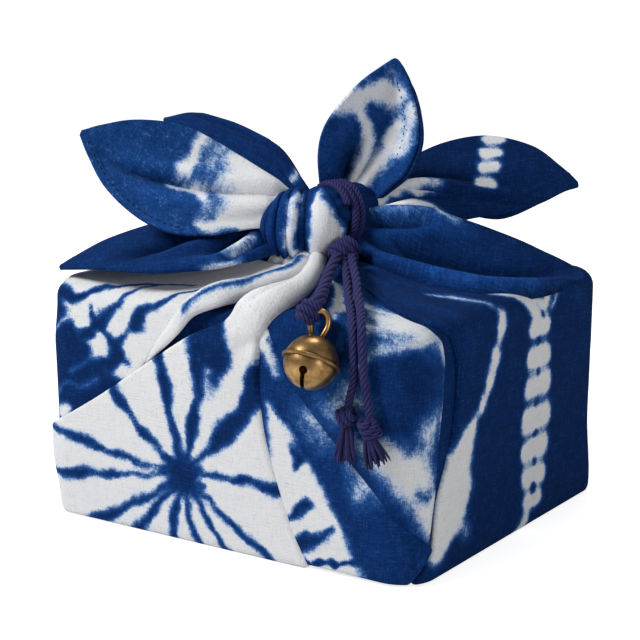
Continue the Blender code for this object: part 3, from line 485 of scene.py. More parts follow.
def tiedKnot(name, setting):
    # Coil round the knot's axis; both its ends turn in to the middle, where they lie hidden.
    share = np.linspace(0, 1, knotCoil["steps"])[:, None]
    axis = unit(np.array(setting["axis"]) @ np.array((across, upward, outward)))
    side = unit(np.cross(axis, upward))
    third = np.cross(axis, side)
    turn = tau * (setting["turns"] * share + setting["start"])
    out = side * np.cos(turn) + third * np.sin(turn)
    bulge, past, drawn = knotCoil["belly"], knotCoil["past"], knotCoil["drawn"]
    inside = smoothStep(-past, drawn, share) * smoothStep(1 + past, 1 - drawn, share)
    reach = setting["coil"] * (1 - bulge + bulge * np.sin(math.pi * share)) * inside
    along = (share - 0.5) * setting["turns"] * setting["pitch"] * (1 - bulge + bulge * inside)
    path = np.array(setting["centre"]) + out * reach + axis * along
    return rope(name, path, lengthAlong(path), out + 0 * path, setting["radius"], knotCoil["lay"])


def frayedEnd(name, setting):
    # Yarns fan out of the knot and down: each is a tapering tube along its own slightly curled path.
    chance = np.random.default_rng(len(name))
    count, rows, sides = yarns["count"], len(yarns["radii"]), yarns["sides"]
    angle = chance.uniform(0, tau, count)[:, None]
    spread = np.sqrt(chance.uniform(yarns["inner"], 1.0, count))[:, None]
    fall = np.linspace(0, 1, rows)[None, :]
    aside, deep = spread * np.cos(angle), spread * np.sin(angle)
    tilt = setting["tilt"] * yarns["tilting"] * aside
    foot = setting["foot"] + chance.normal(0, yarns["uneven"], count)[:, None] + tilt
    x0, y0, z0 = setting["centre"]
    bend = yarns["bend"] * fall + chance.uniform(0, tau, count)[:, None]
    fan = yarns["root"] + (1 - yarns["root"]) * fall ** yarns["fanPower"]
    curl = yarns["curl"] * fall
    x = x0 + aside * yarns["wide"] * fan + setting["sway"] * fall ** yarns["swayPower"] + curl * np.sin(bend)
    y = y0 + deep * yarns["deep"] * fan + yarns["near"] * fall + curl * np.cos(bend)
    z = z0 - yarns["top"] + (foot - z0 + yarns["top"]) * fall
    paths = np.stack([x, y, z], axis=-1)
    turn = turnAround(sides)[0]
    wide = (yarns["radius"] * np.array(yarns["radii"]))[None, :, None]
    wide = wide * chance.uniform(*yarns["spread"], count)[:, None, None]
    ring = np.stack([np.cos(turn), np.sin(turn), 0 * turn], axis=-1)
    rings = paths[:, :, None] + wide[..., None] * ring
    tips = np.repeat(paths[:, -1:, None], sides, axis=2) - upward * yarns["tip"]
    roots = np.repeat(paths[:, :1, None], sides, axis=2)
    rings = np.concatenate([roots, rings, tips], axis=1)[:, ::-1]
    along = np.linspace(0, yarns["mapLong"], rows + 2)[None, :, None] + bend[:, :1, None]
    uv = flatMap(np.linspace(0, yarns["mapWide"], sides + 1)[None, None, :], along)
    return gridPiece(name, rings, navyCord, loopColumns=True, uv=uv, merge=True)


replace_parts(wrapTurns(), "cord_wrap")
knots = {name: tiedKnot(name, setting) for name, setting in cordKnots.items()}
frayed = {name: frayedEnd(name, setting) for name, setting in frays.items()}
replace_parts(knots["neckKnot"], "cord_knot_neck")
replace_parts(knots["bellKnot"], "cord_knot_bell")
for side in ("left", "right"):
    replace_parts(knots[side + "TailKnot"], "tassel_" + side)
    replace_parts(frayed[side + "Fray"], "tassel_" + side)
for name, setting, node, pieces in (
        ("bellCord", bellStrand, "cord_bell_strand", [knots["bellKnot"]]),
        ("leftTail", leftTail, "cord_left_tail", [knots["leftTailKnot"], frayed["leftFray"]]),
        ("rightTail", rightTail, "cord_right_tail", [knots["rightTailKnot"], frayed["rightFray"]])):
    run, path, length = freeRun(name, setting)
    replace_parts(run, node)
    2 * setting["radius"][1][1] * mm
    print(name, "is", round(length, 1), "mm long")
print("cord made")


bell = {
    "centre": (46.2, -81.6, 78.7), "lean": 22.0, "shellLean": 33.0, "radius": 9.4, "wall": 0.9,
    "beadWide": 0.82, "beadTall": 0.72, "beadOut": 0.12, "seam": 0.16, "domeSteps": 44, "beadSteps": 15,
    "around": 120, "seamEdge": 0.95, "seamDirt": (0.75, 0.45), "crownDirt": (0.35, 1.2), "loopDirt": 2.5,
    "hole": (0.294, -0.954, -0.061), "slotHalf": 0.75, "holeRadius": 1.45, "holeAngle": 33.5, "cutSteps": 40,
    "wire": 1.0, "wireSteps": 90, "wireSides": 28,
    "loop": [(-1.9, 8.7), (-2.5, 10.6), (-3.15, 13.2), (-2.4, 16.2), (0, 17.6), (2.4, 16.2), (3.15, 13.2),
             (2.5, 10.6), (1.9, 8.7)],
}


def bellAxes(lean):
    lean = math.radians(lean)
    crown = np.array((0.0, math.sin(lean), math.cos(lean)))
    face = unit(np.array(bell["hole"]) - crown * (np.array(bell["hole"]) @ crown))
    return np.array((np.cross(-face, crown), -face, crown))


def brassPiece(name, points, tarnish=1.0, lean=bell["shellLean"], body="root"):
    # Points are in the bell's own axes; the whole hangs at a lean.
    placed = points @ bellAxes(lean) + np.array(bell["centre"])
    return gridPiece(name, placed, agedBrass, loopColumns=True, marks={"tarnish": tarnish}, merge=True,
                     body=body)


def cutter(name, points):
    # A closed shape to cut away, its faces turned outward.
    tool = brassPiece(name, points, body=None)
    editMesh(tool.data, lambda work: bmesh.ops.recalc_face_normals(work, faces=work.faces))
    return tool


def cut(piece, cutters):
    for tool in cutters:
        step = piece.modifiers.new("cut", "BOOLEAN")
        step.operation, step.solver, step.object = "DIFFERENCE", "EXACT", tool
        bpy.context.view_layer.update()
        made = bpy.data.meshes.new_from_object(piece.evaluated_get(bpy.context.evaluated_depsgraph_get()))
        piece.modifiers.clear()
        piece.data = made
        bpy.data.objects.remove(tool)


def revolved(profile, steps):
    # Profile of (radius, height) carried round the bell's own axis.
    around = turnAround(steps)
    return np.stack([profile[:, :1] * np.cos(around), profile[:, :1] * np.sin(around),
                     profile[:, 1:] + 0 * around], axis=-1)


def fallingArc(radius, last, steps):
    # (radius, height) pairs from the crown down to an angle in degrees.
    angle = np.radians(np.linspace(0, last, steps))
    return np.column_stack([radius * np.sin(angle), radius * np.cos(angle)])


def closedEnds(rings):
    # The first and last ring close to a point in their own middles.
    middles = np.repeat(rings.mean(axis=1, keepdims=True), rings.shape[1], axis=1)
    return np.concatenate([middles[:1], rings, middles[-1:]])


def slotShape(near, far, sweep):
    # Bar of the slot's width, bent round under the bell from hole to hole.
    half = bell["slotHalf"]
    arcs = [np.stack([side + 0 * sweep, -reach * np.cos(sweep), reach * np.sin(sweep)], axis=-1)
            for side, reach in ((-half, near), (half, near), (half, far), (-half, far))]
    return closedEnds(np.stack(arcs, axis=1))


def holeShape(near, far, angle):
    # Rod through the wall at an angle below the waist.
    way, side = np.array((0.0, -math.cos(angle), math.sin(angle))), np.array((1.0, 0.0, 0.0))
    turn = turnAround(bell["cutSteps"])[..., None]
    disc = bell["holeRadius"] * (np.cos(turn) * side + np.sin(turn) * np.cross(way, side))
    return np.concatenate([near * way + 0 * disc, near * way + disc, far * way + disc, far * way + 0 * disc])


def dirt(off, much, over):
    # Dirt thins out with the distance `off` from where it gathers.
    return much * np.exp(-(off / over) ** 2)


def makeBell():
    # Two half shells rolled together at a raised waist, hollow, with a round hole at each end of a slot.
    r, inner = bell["radius"], bell["radius"] - bell["wall"]
    dome = fallingArc(r, 86, bell["domeSteps"])
    bead = np.radians(np.linspace(78, -78, bell["beadSteps"]))
    waist = np.column_stack([r + bell["beadOut"] + bell["beadWide"] * np.cos(bead),
                             bell["beadTall"] * np.sin(bead)])
    waist[bell["beadSteps"] // 2, 0] -= bell["seam"]
    profile = np.concatenate([dome, waist, (dome * (1, -1))[::-1]])[::-1]
    height = profile[:, 1]
    tarnish = dirt(np.abs(height) - bell["seamEdge"], *bell["seamDirt"])
    tarnish = tarnish + dirt(height - r, *bell["crownDirt"])
    shell = brassPiece("bellShell", revolved(profile, bell["around"]), tarnish[:, None])
    near, far = inner - 2.5, r + 3
    sweep = np.radians(np.linspace(-bell["holeAngle"], bell["holeAngle"] - 180, bell["cutSteps"]))
    cutters = [cutter("cavity", revolved(fallingArc(inner, 180, 40)[::-1], 72)),
               cutter("slotCutter", slotShape(near, far, sweep))]
    cutters += [cutter("holeCutter", holeShape(near, far, angle)) for angle in (sweep[0], sweep[-1])]
    cut(shell, cutters)
    shell.data.set_sharp_from_angle(angle=math.radians(35))
    return shell


def makeLoop():
    # Wire bent up from the crown, round through the cord's knot and down again; dirt gathers low on it.
    aside, height = smoothRows(bell["loop"], bell["wireSteps"]).T
    path = np.column_stack([aside, -0.1 * aside, height])
    lift = np.broadcast_to(np.array((0.0, 1.0, 0.0)), path.shape)
    rings = closedEnds(carried(path, lift, bell["wire"], bell["wire"], turnAround(bell["wireSides"])))
    low = np.clip((bell["radius"] + bell["loopDirt"] - rings[..., 2]) / bell["loopDirt"], 0, 1)
    return brassPiece("bellWire", rings, low, bell["lean"])


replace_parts(makeBell(), "bell")
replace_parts(makeLoop(), "bell_loop")
print("bell made")


box = {
    "sides": (160.0, 140.0, 160.0, 140.0), "height": 90.0, "corners": (8.0, 13.0, 8.0, 8.0),
    "topEdge": 6.0, "footEdge": 3.5, "tentRise": 9.2, "tentRun": 70.0, "tentPower": 1.15, "neckRadius": 8.0,
    "gather": (-6.0, -6.0), "sheet": 1.8,
}
girth = sum(box["sides"])

# Ridges of gathered cloth on the top: place round the box, half width, height, and where each starts.
gathers = [(104, 5, 1.2, 92), (131, 4, 1.4, 90), (163, 6, 2.2, 90), (188, 8, 2.6, 90), (215, 10, 2.2, 96),
           (248, 11, 3, 94), (285, 10, 2.4, 92), (322, 12, 3, 90), (362, 11, 2.6, 92), (402, 12, 2.8, 90),
           (446, 11, 3.2, 90), (486, 10, 2.4, 92), (524, 11, 2.8, 92), (566, 10, 2.2, 92), (22, 9, 2, 94)]


def turnedEdge(gap, radius):
    # Distance along a side and inset from it, for a path that turns a corner on an arc.
    turn = np.radians(45) * np.clip(1 - gap / radius, 0, 1)
    return np.where(gap < radius, radius * (1 - np.sin(turn)), gap), radius * (1 - np.cos(turn))


def roundBox(s):
    # Point at distance s round the box, from its front left corner.
    half = np.array(box["sides"][:2]) / 2
    s = np.mod(s, girth)
    point = np.zeros(s.shape + (2,))
    spots = [np.array(c) * half for c in ((-1, -1), (1, -1), (1, 1), (-1, 1), (-1, -1))]
    start = 0.0
    for side, length in enumerate(box["sides"]):
        run = (spots[side + 1] - spots[side]) / length
        out = np.array((run[1], -run[0]))
        for corner, way, radius in ((spots[side], 1, box["corners"][side]),
                                    (spots[side + 1], -1, box["corners"][(side + 1) % 4])):
            here = s - start if way > 0 else start + length - s
            use = (here >= 0) & (here <= length / 2)
            along, inset = turnedEdge(here, radius)
            at = corner + way * run * along[..., None] - out * inset[..., None]
            point[use] = at[use]
        start += length
    return point


def boxPoint(s, v):
    # Point of the wrapped box: v is height up its side, past the top edge the way in to the knot.
    edge, tall = roundBox(s), box["height"]
    low = v < tall / 2
    along, inset = turnedEdge(np.where(low, np.abs(v), np.abs(tall - v)),
                              np.where(low, box["footEdge"], box["topEdge"]))
    over = np.where(low, v < 0, v > tall)
    inward, climb = np.where(over, along, inset), np.where(over, inset, along)
    height = np.where(low, climb, tall - climb)
    share = np.clip((v - tall) / box["tentRun"], 0, 1)
    height = height + box["tentRise"] * share ** box["tentPower"]
    away = np.where(~low[..., None], np.array(box["gather"]), np.zeros(2)) - edge
    reach = np.linalg.norm(away, axis=-1)
    inward = inward + np.where(v > tall, (reach - box["neckRadius"] - box["tentRun"]) * share ** 2, 0)
    return np.concatenate([edge + away * (inward / reach)[..., None], height[..., None]], axis=-1)


def onBox(s, v, height, lowest=0.0):
    # Point `height` out from the wrapped box, no lower than `lowest`.
    near = 0.4
    s, v, height = np.broadcast_arrays(*(np.asarray(a, float) for a in (s, v, height)))
    normal = unit(np.cross(boxPoint(s + near, v) - boxPoint(s - near, v),
                           boxPoint(s, v + near) - boxPoint(s, v - near)))
    point = boxPoint(s, v) + normal * height[..., None]
    point[..., 2] = np.maximum(point[..., 2], lowest)
    return point


def relief(s, v):
    # Height of the gathers over the top of the box.
    total = np.zeros(np.broadcast(s, v).shape)
    for place, width, height, start in gathers:
        off = np.mod(s - place + girth / 2, girth) - girth / 2
        grow = np.clip((v - start) / (box["height"] + box["tentRun"] - start), 0, 1)
        total = total + height * np.exp(-(off / width) ** 2) * np.sin(grow * math.pi * 0.6)
    return total


def nearLine(u, v, points):
    # Distance from each (u, v) to a bent line, and the line's third number at the nearest place.
    distance, value = np.full(u.shape, 1e9), np.zeros(u.shape)
    for (u0, v0, a), (u1, v1, b) in zip(points, points[1:] or points):
        du, dv = u1 - u0, v1 - v0
        t = np.clip(((u - u0) * du + (v - v0) * dv) / max(du * du + dv * dv, 1e-9), 0, 1)
        gap = np.hypot(u - u0 - t * du, v - v0 - t * dv)
        closer = gap < distance
        distance, value = np.where(closer, gap, distance), np.where(closer, a + t * (b - a), value)
    return distance, value


def waver(u, v, size, seed):
    # Slow uneven shift: sines of several lengths and directions, the longer the stronger.
    chance = np.random.default_rng(seed)
    total = np.zeros(u.shape)
    for length in (4.5, 6.5, 9.0, 13.0, 19.0):
        turn, start = chance.uniform(0, tau, 2)
        gone = u * math.cos(turn) + v * math.sin(turn)
        total = total + np.sin(tau * gone / length + start) * length / 12
    return size * total / 2.5


tones = {"white": -1.0, "pale": -0.35, "blue": 0.12, "indigo": 1.0}


def inkOf(u, v, piece):
    # Ink from -1, white, to 1, indigo. A mark is a tone, the softness of its edge and the bent lines it is
    # drawn with, each a list of (u, v, half width).
    u, v = np.broadcast_arrays(u, v)
    ink = np.full(u.shape, float(piece["ground"]))
    uneven, seed = piece.get("uneven", 0.9), piece["seed"]
    x, y = u + waver(u, v, uneven, seed), v + waver(u, v, uneven, seed + 50)
    for tone, soft, *lines in piece["marks"]:
        for points in lines:
            distance, half = nearLine(x, y, points)
            ink = ink + (tones[tone] - ink) * np.clip((half - distance) / (4.0 * soft) + 0.5, 0, 1)
    return ink


def foldsOf(u, v, folds):
    # Height of ridges, or troughs where negative. A fold is (half width, points with heights): soft where
    # the width is above 0, and with a sharp crest where it is below.
    total = np.zeros(u.shape)
    for width, points in folds:
        distance, height = nearLine(u, v, points)
        total = total + height * np.exp(-(distance / width) ** 2 if width > 0 else distance / width)
    return total


def clothPiece(name, points, uv, marks, wall=None, **grid):
    # Dyed cotton; `wall` is its thickness and the side of the grid that it stands on.
    piece = gridPiece(name, points, dyedCotton, uv=uv, marks=marks, **grid)
    if wall:
        layer = piece.modifiers.new("clothThickness", "SOLIDIFY")
        layer.thickness, layer.offset = wall[0] * mm, wall[1]
    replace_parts(piece, "furoshiki_cloth")
    return piece


sheetWall, leafWall, edgeWall = (0.7, -1.0), (1.3, 0.0), (1.0, 0.0)

# A flap's rails are its two long edges, row by row: (left s, left v, right s, right v, lift, crown). Here s
# is the distance round the box and v the height up it.
sunburstFlap = {
    "size": (114, 180), "ground": -1, "seed": 3, "uneven": 0.8,
    "rails": [(-55, 1, 118, 1, 2.4, 0), (-34, 13, 111.5, 13, 2.6, 0.2), (-6, 31.5, 104.5, 31, 2.9, 0.3),
              (22.5, 49, 99.5, 48, 3.1, 0.4), (49, 67, 97.5, 64, 3.1, 0.6), (68.5, 79.5, 98, 77, 2.8, 1.4),
              (84.5, 87.5, 101, 84, 2, 2.6), (95, 93, 106, 90, 1.4, 3.4)],
    "folds": [(5, [(99, 60, 0), (96, 72, 0.8), (98, 84, 1), (103, 92, 0.6)]),
              (4, [(84, 66, 0), (90, 76, -0.8), (96, 88, -0.9)]),
              (3, [(76, 76, 0), (86, 84, 0.5), (96, 92, 0.4)])],
    "marks": [
        ("indigo", 1, [(64.5, 26, 3.4)],
         [(64, 26, 1.8), (50, 24, 0.4), (44, 22.4, 0.7), (36, 21.5, 0.7), (30, 21, 1.6), (24, 20, 0.8),
          (14, 18, 2.3), (6, 17, 1.3), (-12, 14, 2.1)],
         [(64, 26.5, 1.8), (52, 27, 0.4), (45, 27.5, 1), (37, 28, 1.3), (30, 29.2, 0.9), (23, 30.5, 1.9),
          (12, 33, 1.6), (0, 36, 1.1)],
         [(63, 27, 1.6), (56, 32, 0.6), (50, 36.5, 1.1), (45, 40, 2.1), (41, 43.5, 1.1), (36, 49, 2.5),
          (31, 56, 1.6), (29, 60, 2.3)],
         [(63.5, 28, 1.8), (60.5, 40, 1.6), (59, 48, 1.2), (57.5, 54, 2.6), (56, 60, 3.1), (54.5, 66, 1.8),
          (52, 72, 2.8)], [(64.5, 28, 1.8), (66.5, 36, 1), (68, 42, 2.5), (70, 49, 3.3), (71, 53, 1.8)]),
        ("indigo", 1.4, [(71.5, 54, 1.5), (74, 62, 5), (77, 72, 9.5), (75, 79, 9)]),
        ("white", 1.6, [(74, 52, 0.7), (75.5, 60, 0.9), (77, 67, 0.4)]),
        ("indigo", 1.2, [(66, 28, 2.2), (72, 33.5, 1), (78, 39, 2.4), (84, 46, 4.4), (90, 52, 3.6),
          (95, 60, 4.6), (98, 68, 4.5)]),
        ("white", 1.4, [(82, 52, 0.9), (86, 58, 1.5), (90, 64, 0.8)]),
        ("indigo", 1, [(66, 26, 2), (73, 27.5, 0.5), (79, 28, 1.1), (84, 28.5, 0.9), (90, 28.5, 2.1),
          (97, 28, 1.3), (104, 28, 2.1), (112, 28, 2.5)]),
        ("indigo", 0.9, [(66, 27, 1.5), (72.5, 29.5, 0.3)], [(66, 25, 1.5), (73, 23, 0.7)],
         [(63, 28, 1.3), (56, 31, 0.7)]),
        ("indigo", 1, [(66, 24, 1.6), (73, 19, 0.7), (80, 14.5, 0.9), (86, 11, 1.5), (92, 7.5, 1),
          (99, 3, 1.6), (106, -2, 2)],
         [(65.5, 23.5, 1.5), (70, 17, 0.7), (75, 10, 1.5), (79, 5, 1.1), (84, -1, 1.8)],
         [(64.5, 23.5, 1.5), (65.5, 17, 0.7), (67, 10, 1.2), (69.5, 0, 1.6)],
         [(63.5, 23.5, 1.6), (61.5, 17, 1), (60, 12, 1.9), (58.5, 6, 1.5), (57, -2, 2)],
         [(62.5, 24, 1.5), (57, 18, 0.9), (51, 11, 1.9), (46, 6, 1.3), (39, -1, 1.8)],
         [(62, 24.5, 1.5), (52, 18, 0.7), (44, 13, 1.5), (38, 9.5, 1), (30, 5.5, 2), (22, 2, 1.6),
          (16, 0, 1)]),
        ("indigo", 1.6, [(-60, 4, 3), (-34, 8, 2), (-20, 9, 2.5)]),
        ("indigo", 1.4, [(-40, 2, 1.6), (-26, 15, 2.2), (-14, 22, 1.2)]),
    ],
}
petalFlap = {
    "size": (132, 185), "ground": -1, "seed": 9,
    "rails": [(-150, 2, 30, 2, 0, 0), (-150, 30, 30, 40, 0, 0.3), (-150, 60, 46, 66, 0.2, 0.6),
              (-150, 80, 58, 80, 0.4, 1), (-150, 94, 68, 93, 0.6, 1.6), (-150, 112, 74, 108, 0.4, 2.2),
              (-150, 145, 78, 145, 0.3, 2)],
    "folds": [(4, [(60, 84, 0), (66, 92, -0.8), (70, 102, -0.9)])],
    "marks": [
        ("indigo", 1.2, [(-150, 20, 60), (-80, 10, 50), (-30, 30, 32), (-8, 38, 26), (6, 44, 14)],
         [(-70, 80, 30), (-30, 84, 20), (-12, 80, 13), (-3, 76, 11), (4, 68, 11), (12, 62, 9)],
         [(8, 56, 9), (20, 52, 9.5), (30, 50, 7.5), (37, 50, 7)]),
        ("indigo", 1, [(4, 87, 3.6), (13, 87, 2.6), (18, 88.5, 1.5), (25, 93, 0.9), (33, 98, 0.7),
          (42, 103, 0.5), (52, 107, 0.3)],
         [(19, 74, 2.6), (23, 77.5, 2.6), (28, 81, 1.6), (33, 86, 1.1), (37, 93, 0.8), (40, 99, 0.4)],
         [(23, 77, 1.6), (28, 73.4, 1), (30.5, 69.5, 2.6), (33, 65, 1.7), (37, 63.5, 1)],
         [(33.5, 71, 1), (38, 76, 0.6), (42, 79.5, 3.2), (43.5, 84, 2.6), (48, 85.5, 1.2), (53, 90, 1.4),
          (56, 96, 1), (60, 104, 0.7)]),
        ("indigo", 0.8, [(20.4, 83, 0.9), (21, 80, 1)]),
        ("white", 0.9, [(10.5, 92.6, 3), (12, 91.6, 3.2)], [(14.4, 82.4, 2.4), (16, 81.6, 2.6)],
         [(16.4, 77.2, 2.6), (18, 76.2, 2.8)], [(23.6, 71, 2), (24.6, 68.4, 2.3), (26.6, 66, 2.1)],
         [(32.4, 61.4, 1.9), (35, 60, 2.1)]),
        ("white", 1.1, [(3, 41, 2.8), (7, 40.6, 2.8)]),
        ("indigo", 0.8, [(16, 72.4, 2), (20.4, 73.6, 1.4)]),
        ("indigo", 0.9, [(24.6, 60.4, 2.8), (29.4, 63.4, 2.6), (31, 67, 1.9)]),
        ("white", 1, [(-20, 66, 0.25), (-2, 71, 0.4), (11, 79, 0.7)]),
        ("pale", 1, [(10, 57.5, 0.3), (21, 64, 0.6)],
         [(-26, 36, 0.3), (-2, 45, 0.8), (8, 51.5, 0.7), (23, 55, 0.5)]),
        ("white", 1.2, [(-40, 60, 2), (-42, 72, 3), (-38, 82, 2)],
         [(-66, 20, 2.5), (-64, 30, 3.6), (-66, 42, 3), (-63, 54, 3.8), (-66, 66, 2.8), (-62, 78, 3.6)],
         [(-112, 10, 3), (-108, 30, 2), (-104, 48, 4), (-100, 70, 2.6), (-98, 92, 4)]),
        ("white", 3, [(-134, 60, 3), (-128, 76, 5), (-130, 96, 3)]),
    ],
}
cornerFlap = {
    "size": (132, 97), "ground": 0.75, "seed": 17,
    "rails": [(88, 1, 172, 1, 0, 0), (90, 15, 172, 15, 0.1, 0.3), (92, 30, 175.5, 30, 0.1, 0.8),
              (92, 50, 177.5, 50, 0.2, 1.2), (92, 66, 180, 66, 0.2, 1.5), (92, 82, 179.5, 82, 0.2, 1.2),
              (96, 98, 168, 98, 0, 0.6), (102, 120, 162, 118, 0, 0.4), (110, 148, 158, 148, 0, 0.3)],
    "folds": [(5, [(168, 40, 0), (172, 60, 0.5), (172, 82, 0.6), (160, 100, 0.3)]),
              (4.5, [(118, 132, 0.4), (126, 104, 0.9), (132, 86, 0.2)]),
              (4, [(128, 128, -0.4), (138, 106, -0.8), (150, 90, -0.5), (158, 72, 0)])],
    "marks": [
        ("white", 4.5, [(140, 92, 2.5), (150, 94, 4.5), (160, 94, 5), (170, 89, 4), (176, 84, 2)]),
        ("white", 3, [(150, 104, 2), (158, 99, 4), (166, 96, 3.5)]),
        ("white", 3.5, [(146, 132, 2), (150, 116, 3), (162, 104, 2.5)]),
        ("white", 2.2, [(179, 92, 2), (181, 80, 1.6), (181, 66, 1), (179, 52, 0.4)]),
        ("white", 2, [(136, 76, 0.2), (144, 80.5, 0.9), (154, 85, 1), (166, 87, 0.8)]),
        ("indigo", 3.2, [(150, 76, 2), (158, 76, 5), (164, 72, 5), (170, 74, 3)]),
        ("white", 3,
         [(138, 49, 1.5), (147, 47, 6), (157, 43, 9), (164, 36, 9), (168, 28, 6.5), (171, 20, 4)]),
        ("white", 4, [(168, 54, 3.5), (172, 58, 2)]),
        ("indigo", 2, [(164, 34, 1), (167, 32, 1.2)]),
        ("indigo", 2.4, [(158, 56, 3), (160, 52, 1.6)]),
        ("white", 1.4, [(143, 135, 1), (139, 124, 2.4), (136, 115, 3), (131, 103, 2.4), (128, 95, 0.8)]),
        ("white", 5, [(128, 60, 1), (134, 66, 2), (140, 64, 1)]),
    ],
}
sideFlap = {
    "size": (132, 150), "ground": 0.95, "seed": 23, "uneven": 0.4,
    "rails": [(161, 1, 330, 1, 1.4, 0), (167.5, 7, 330, 8, 1.5, 0.1), (173.5, 13, 330, 15, 1.1, 0.2),
              (178, 28, 330, 30, 0.1, 0.3), (186, 45, 330, 50, 0.2, 0.4), (190, 66, 330, 66, 0.3, 0.5),
              (187, 81, 330, 80, 0.4, 0.6), (174, 98, 330, 98, 0.2, 0.8), (166, 118, 330, 118, 0, 0.8),
              (164, 148, 330, 148, 0, 0.5)],
    "folds": [(4, [(262, 97, 0), (270, 90, 0.9), (280, 84, 0.9), (290, 70, 0.3), (296, 58, 0)]),
              (3.5, [(196, 60, 0), (197, 80, 0.8), (188, 98, 0.9), (178, 120, 0.5)]),
              (4, [(200, 128, 0.5), (210, 106, 0.5), (222, 92, 0)]),
              (6, [(238, 120, -0.5), (250, 100, -0.5), (256, 86, 0)])],
    "marks": [
        ("white", 1.1, [(244, 76.5, 4), (253, 76, 4.2)], [(243.5, 65, 4.8), (254, 65, 5)],
         [(243, 54, 5), (254.5, 54, 5.2)], [(241.5, 41.5, 5.4), (255.5, 41.5, 5.6)],
         [(241.5, 29.5, 5), (254.5, 29.5, 5)], [(241, 19.5, 4.4), (252, 19, 4.4)],
         [(241, 10.5, 3.8), (249, 10.5, 3.8)]),
        ("white", 1.2, [(240, 4.5, 2.6), (232, -1, 2.6)]),
        ("indigo", 0.8, [(248.5, 71, 0.9)], [(248.5, 59.5, 0.9)], [(248.5, 47.5, 0.9)], [(248, 35.5, 0.9)],
         [(247.5, 24.5, 1)]),
        ("indigo", 0.9, [(246, 14.8, 1.8)]),
        ("white", 1.2, [(240, 92, 2.2), (247, 85, 3.4), (252, 84, 3.2), (258, 90, 1.6), (262, 94, 0.8)]),
        ("white", 1.3, [(230, 103, 2.2), (240, 97, 2.4), (247, 90, 1.8), (255, 96, 1)]),
        ("white", 1.2, [(258, 82, 0.8), (266, 90, 0.7), (272, 90, 0.4)]),
        ("indigo", 0.8, [(243, 88, 0.4), (251, 80.5, 0.6)]),
        ("white", 1.1, [(219.5, 87, 2.6), (219, 82, 3.6), (218, 78.5, 2.4)],
         [(215.4, 72, 3.6), (214, 69, 2.8)], [(211.2, 64, 3.3), (210, 61, 2.4)],
         [(207, 56.6, 2.7), (205.8, 54.4, 2)]),
        ("white", 1.2, [(226, 98, 1), (234, 94, 2.4), (241, 87, 3.2), (245, 82, 3)]),
        ("white", 1.5, [(216, 92, 1), (207, 104, 1.2), (200, 112, 0.6)]),
        ("white", 1.4,
         [(202, 53, 1.6), (196.5, 46, 5.4), (191.5, 38, 8.4), (187, 28, 10), (181, 20, 9), (174, 12, 6)]),
        ("white", 2.6, [(196, 28, 3), (190, 18, 3), (194, 12, 1)]),
        ("white", 1.1, [(305, 22, 4), (311, 22, 4)], [(304, 36, 4.4), (312, 36, 4.4)],
         [(305, 50, 4.6), (313, 50, 4.4)], [(306, 64, 4.2), (313, 64, 4)], [(307, 77, 3.4), (313, 77, 3.4)],
         [(306, 9, 3.2), (311, 9, 3.2)]),
    ],
}
diagonalFlap = {
    "size": (132, 79), "ground": 0.65, "seed": 31,
    "rails": [(100, 2, 161, 1, 1.2, 0), (98, 7, 166.5, 6.4, 1.2, 0.1), (96.4, 11.6, 171.2, 11, 1.3, 0.2),
              (96, 13, 171.8, 12.4, 1.3, 0.2), (95.6, 14.6, 170, 14, 1.3, 0.2),
              (94, 25, 155, 24, 1.4, 0.2), (92, 40, 139, 39.5, 1.5, 0.2), (91, 55, 123.5, 54.8, 1.5, 0.2),
              (90, 68, 110, 68.5, 1.4, 0.2), (88, 80, 103, 80.5, 1.2, 0.2), (86, 92, 98, 93, 0.8, 0.2)],
    "folds": [(3, [(100, 78, 0.3), (106, 60, 0)])],
    "marks": [
        ("white", 1.4, [(97, 90, 2.2), (99.4, 80, 2.6), (102.6, 73.5, 1.8), (105, 69.5, 0.6)]),
        ("white", 1.2, [(102, 58, 1.2), (104, 51, 3), (107, 45, 5), (109.5, 37, 8.6), (112, 28, 12),
          (115, 18, 14.5), (118, 8, 18), (120, -2, 20)]),
        ("indigo", 1, [(111.5, 43.6, 1.4), (114.6, 41, 2.4), (113, 37.4, 1.4)],
         [(110, 18, 1.4), (114, 21, 2.6), (118, 24.5, 2.2)],
         [(108, 6, 1.2), (114, 8.5, 2.6), (121, 12, 2), (128, 16, 0.6)]),
        ("indigo", 0.8, [(112, 2.2, 1), (120, 3.2, 0.8), (128, 4.6, 0.9), (137, 6.6, 0.7)]),
        ("indigo", 0.9, [(115.5, 2.6, 1.5)], [(122, 3.8, 1.4)], [(128.5, 4.8, 1.3)]),
        ("white", 4, [(138, 40, 1), (143, 37, 3), (140, 33, 1)]),
        ("white", 5, [(118, 56, 0.6), (123, 52, 1.2)]),
    ],
}
# Rows of the two rolls that run in to the knot: place, half width and half height.
neckRoll = [(5, -71, 75, 8.5, 1.8), (10, -71, 83, 7.6, 2.6), (14.5, -69.5, 90, 7.4, 3.5),
            (18.8, -63, 94, 6.4, 4), (18, -48, 95.2, 4.9, 4.1), (11, -29, 96, 4.1, 4.1),
            (2, -12, 99, 3.8, 4.1)]
petalRoll = {
    "size": (120, 48), "girth": 22, "ground": -1, "seed": 5,
    "rows": [(-35, -70, 65, 0.3, 0.2), (-29, -70.4, 71.5, 2, 1.2), (-21, -70.5, 80, 3.2, 1.8),
              (-14, -70, 88, 3.6, 2.8), (-5, -65.5, 93.2, 5, 3.1), (2, -52, 94.8, 4.8, 3.4),
              (3.5, -30, 97, 4.2, 3.6), (-2, -12, 99, 3.6, 3.6)],
    "marks": [("indigo", 1.2, [(0, 30, 0.6), (1, 60, 0.8), (0, 90, 0.6)])],
}
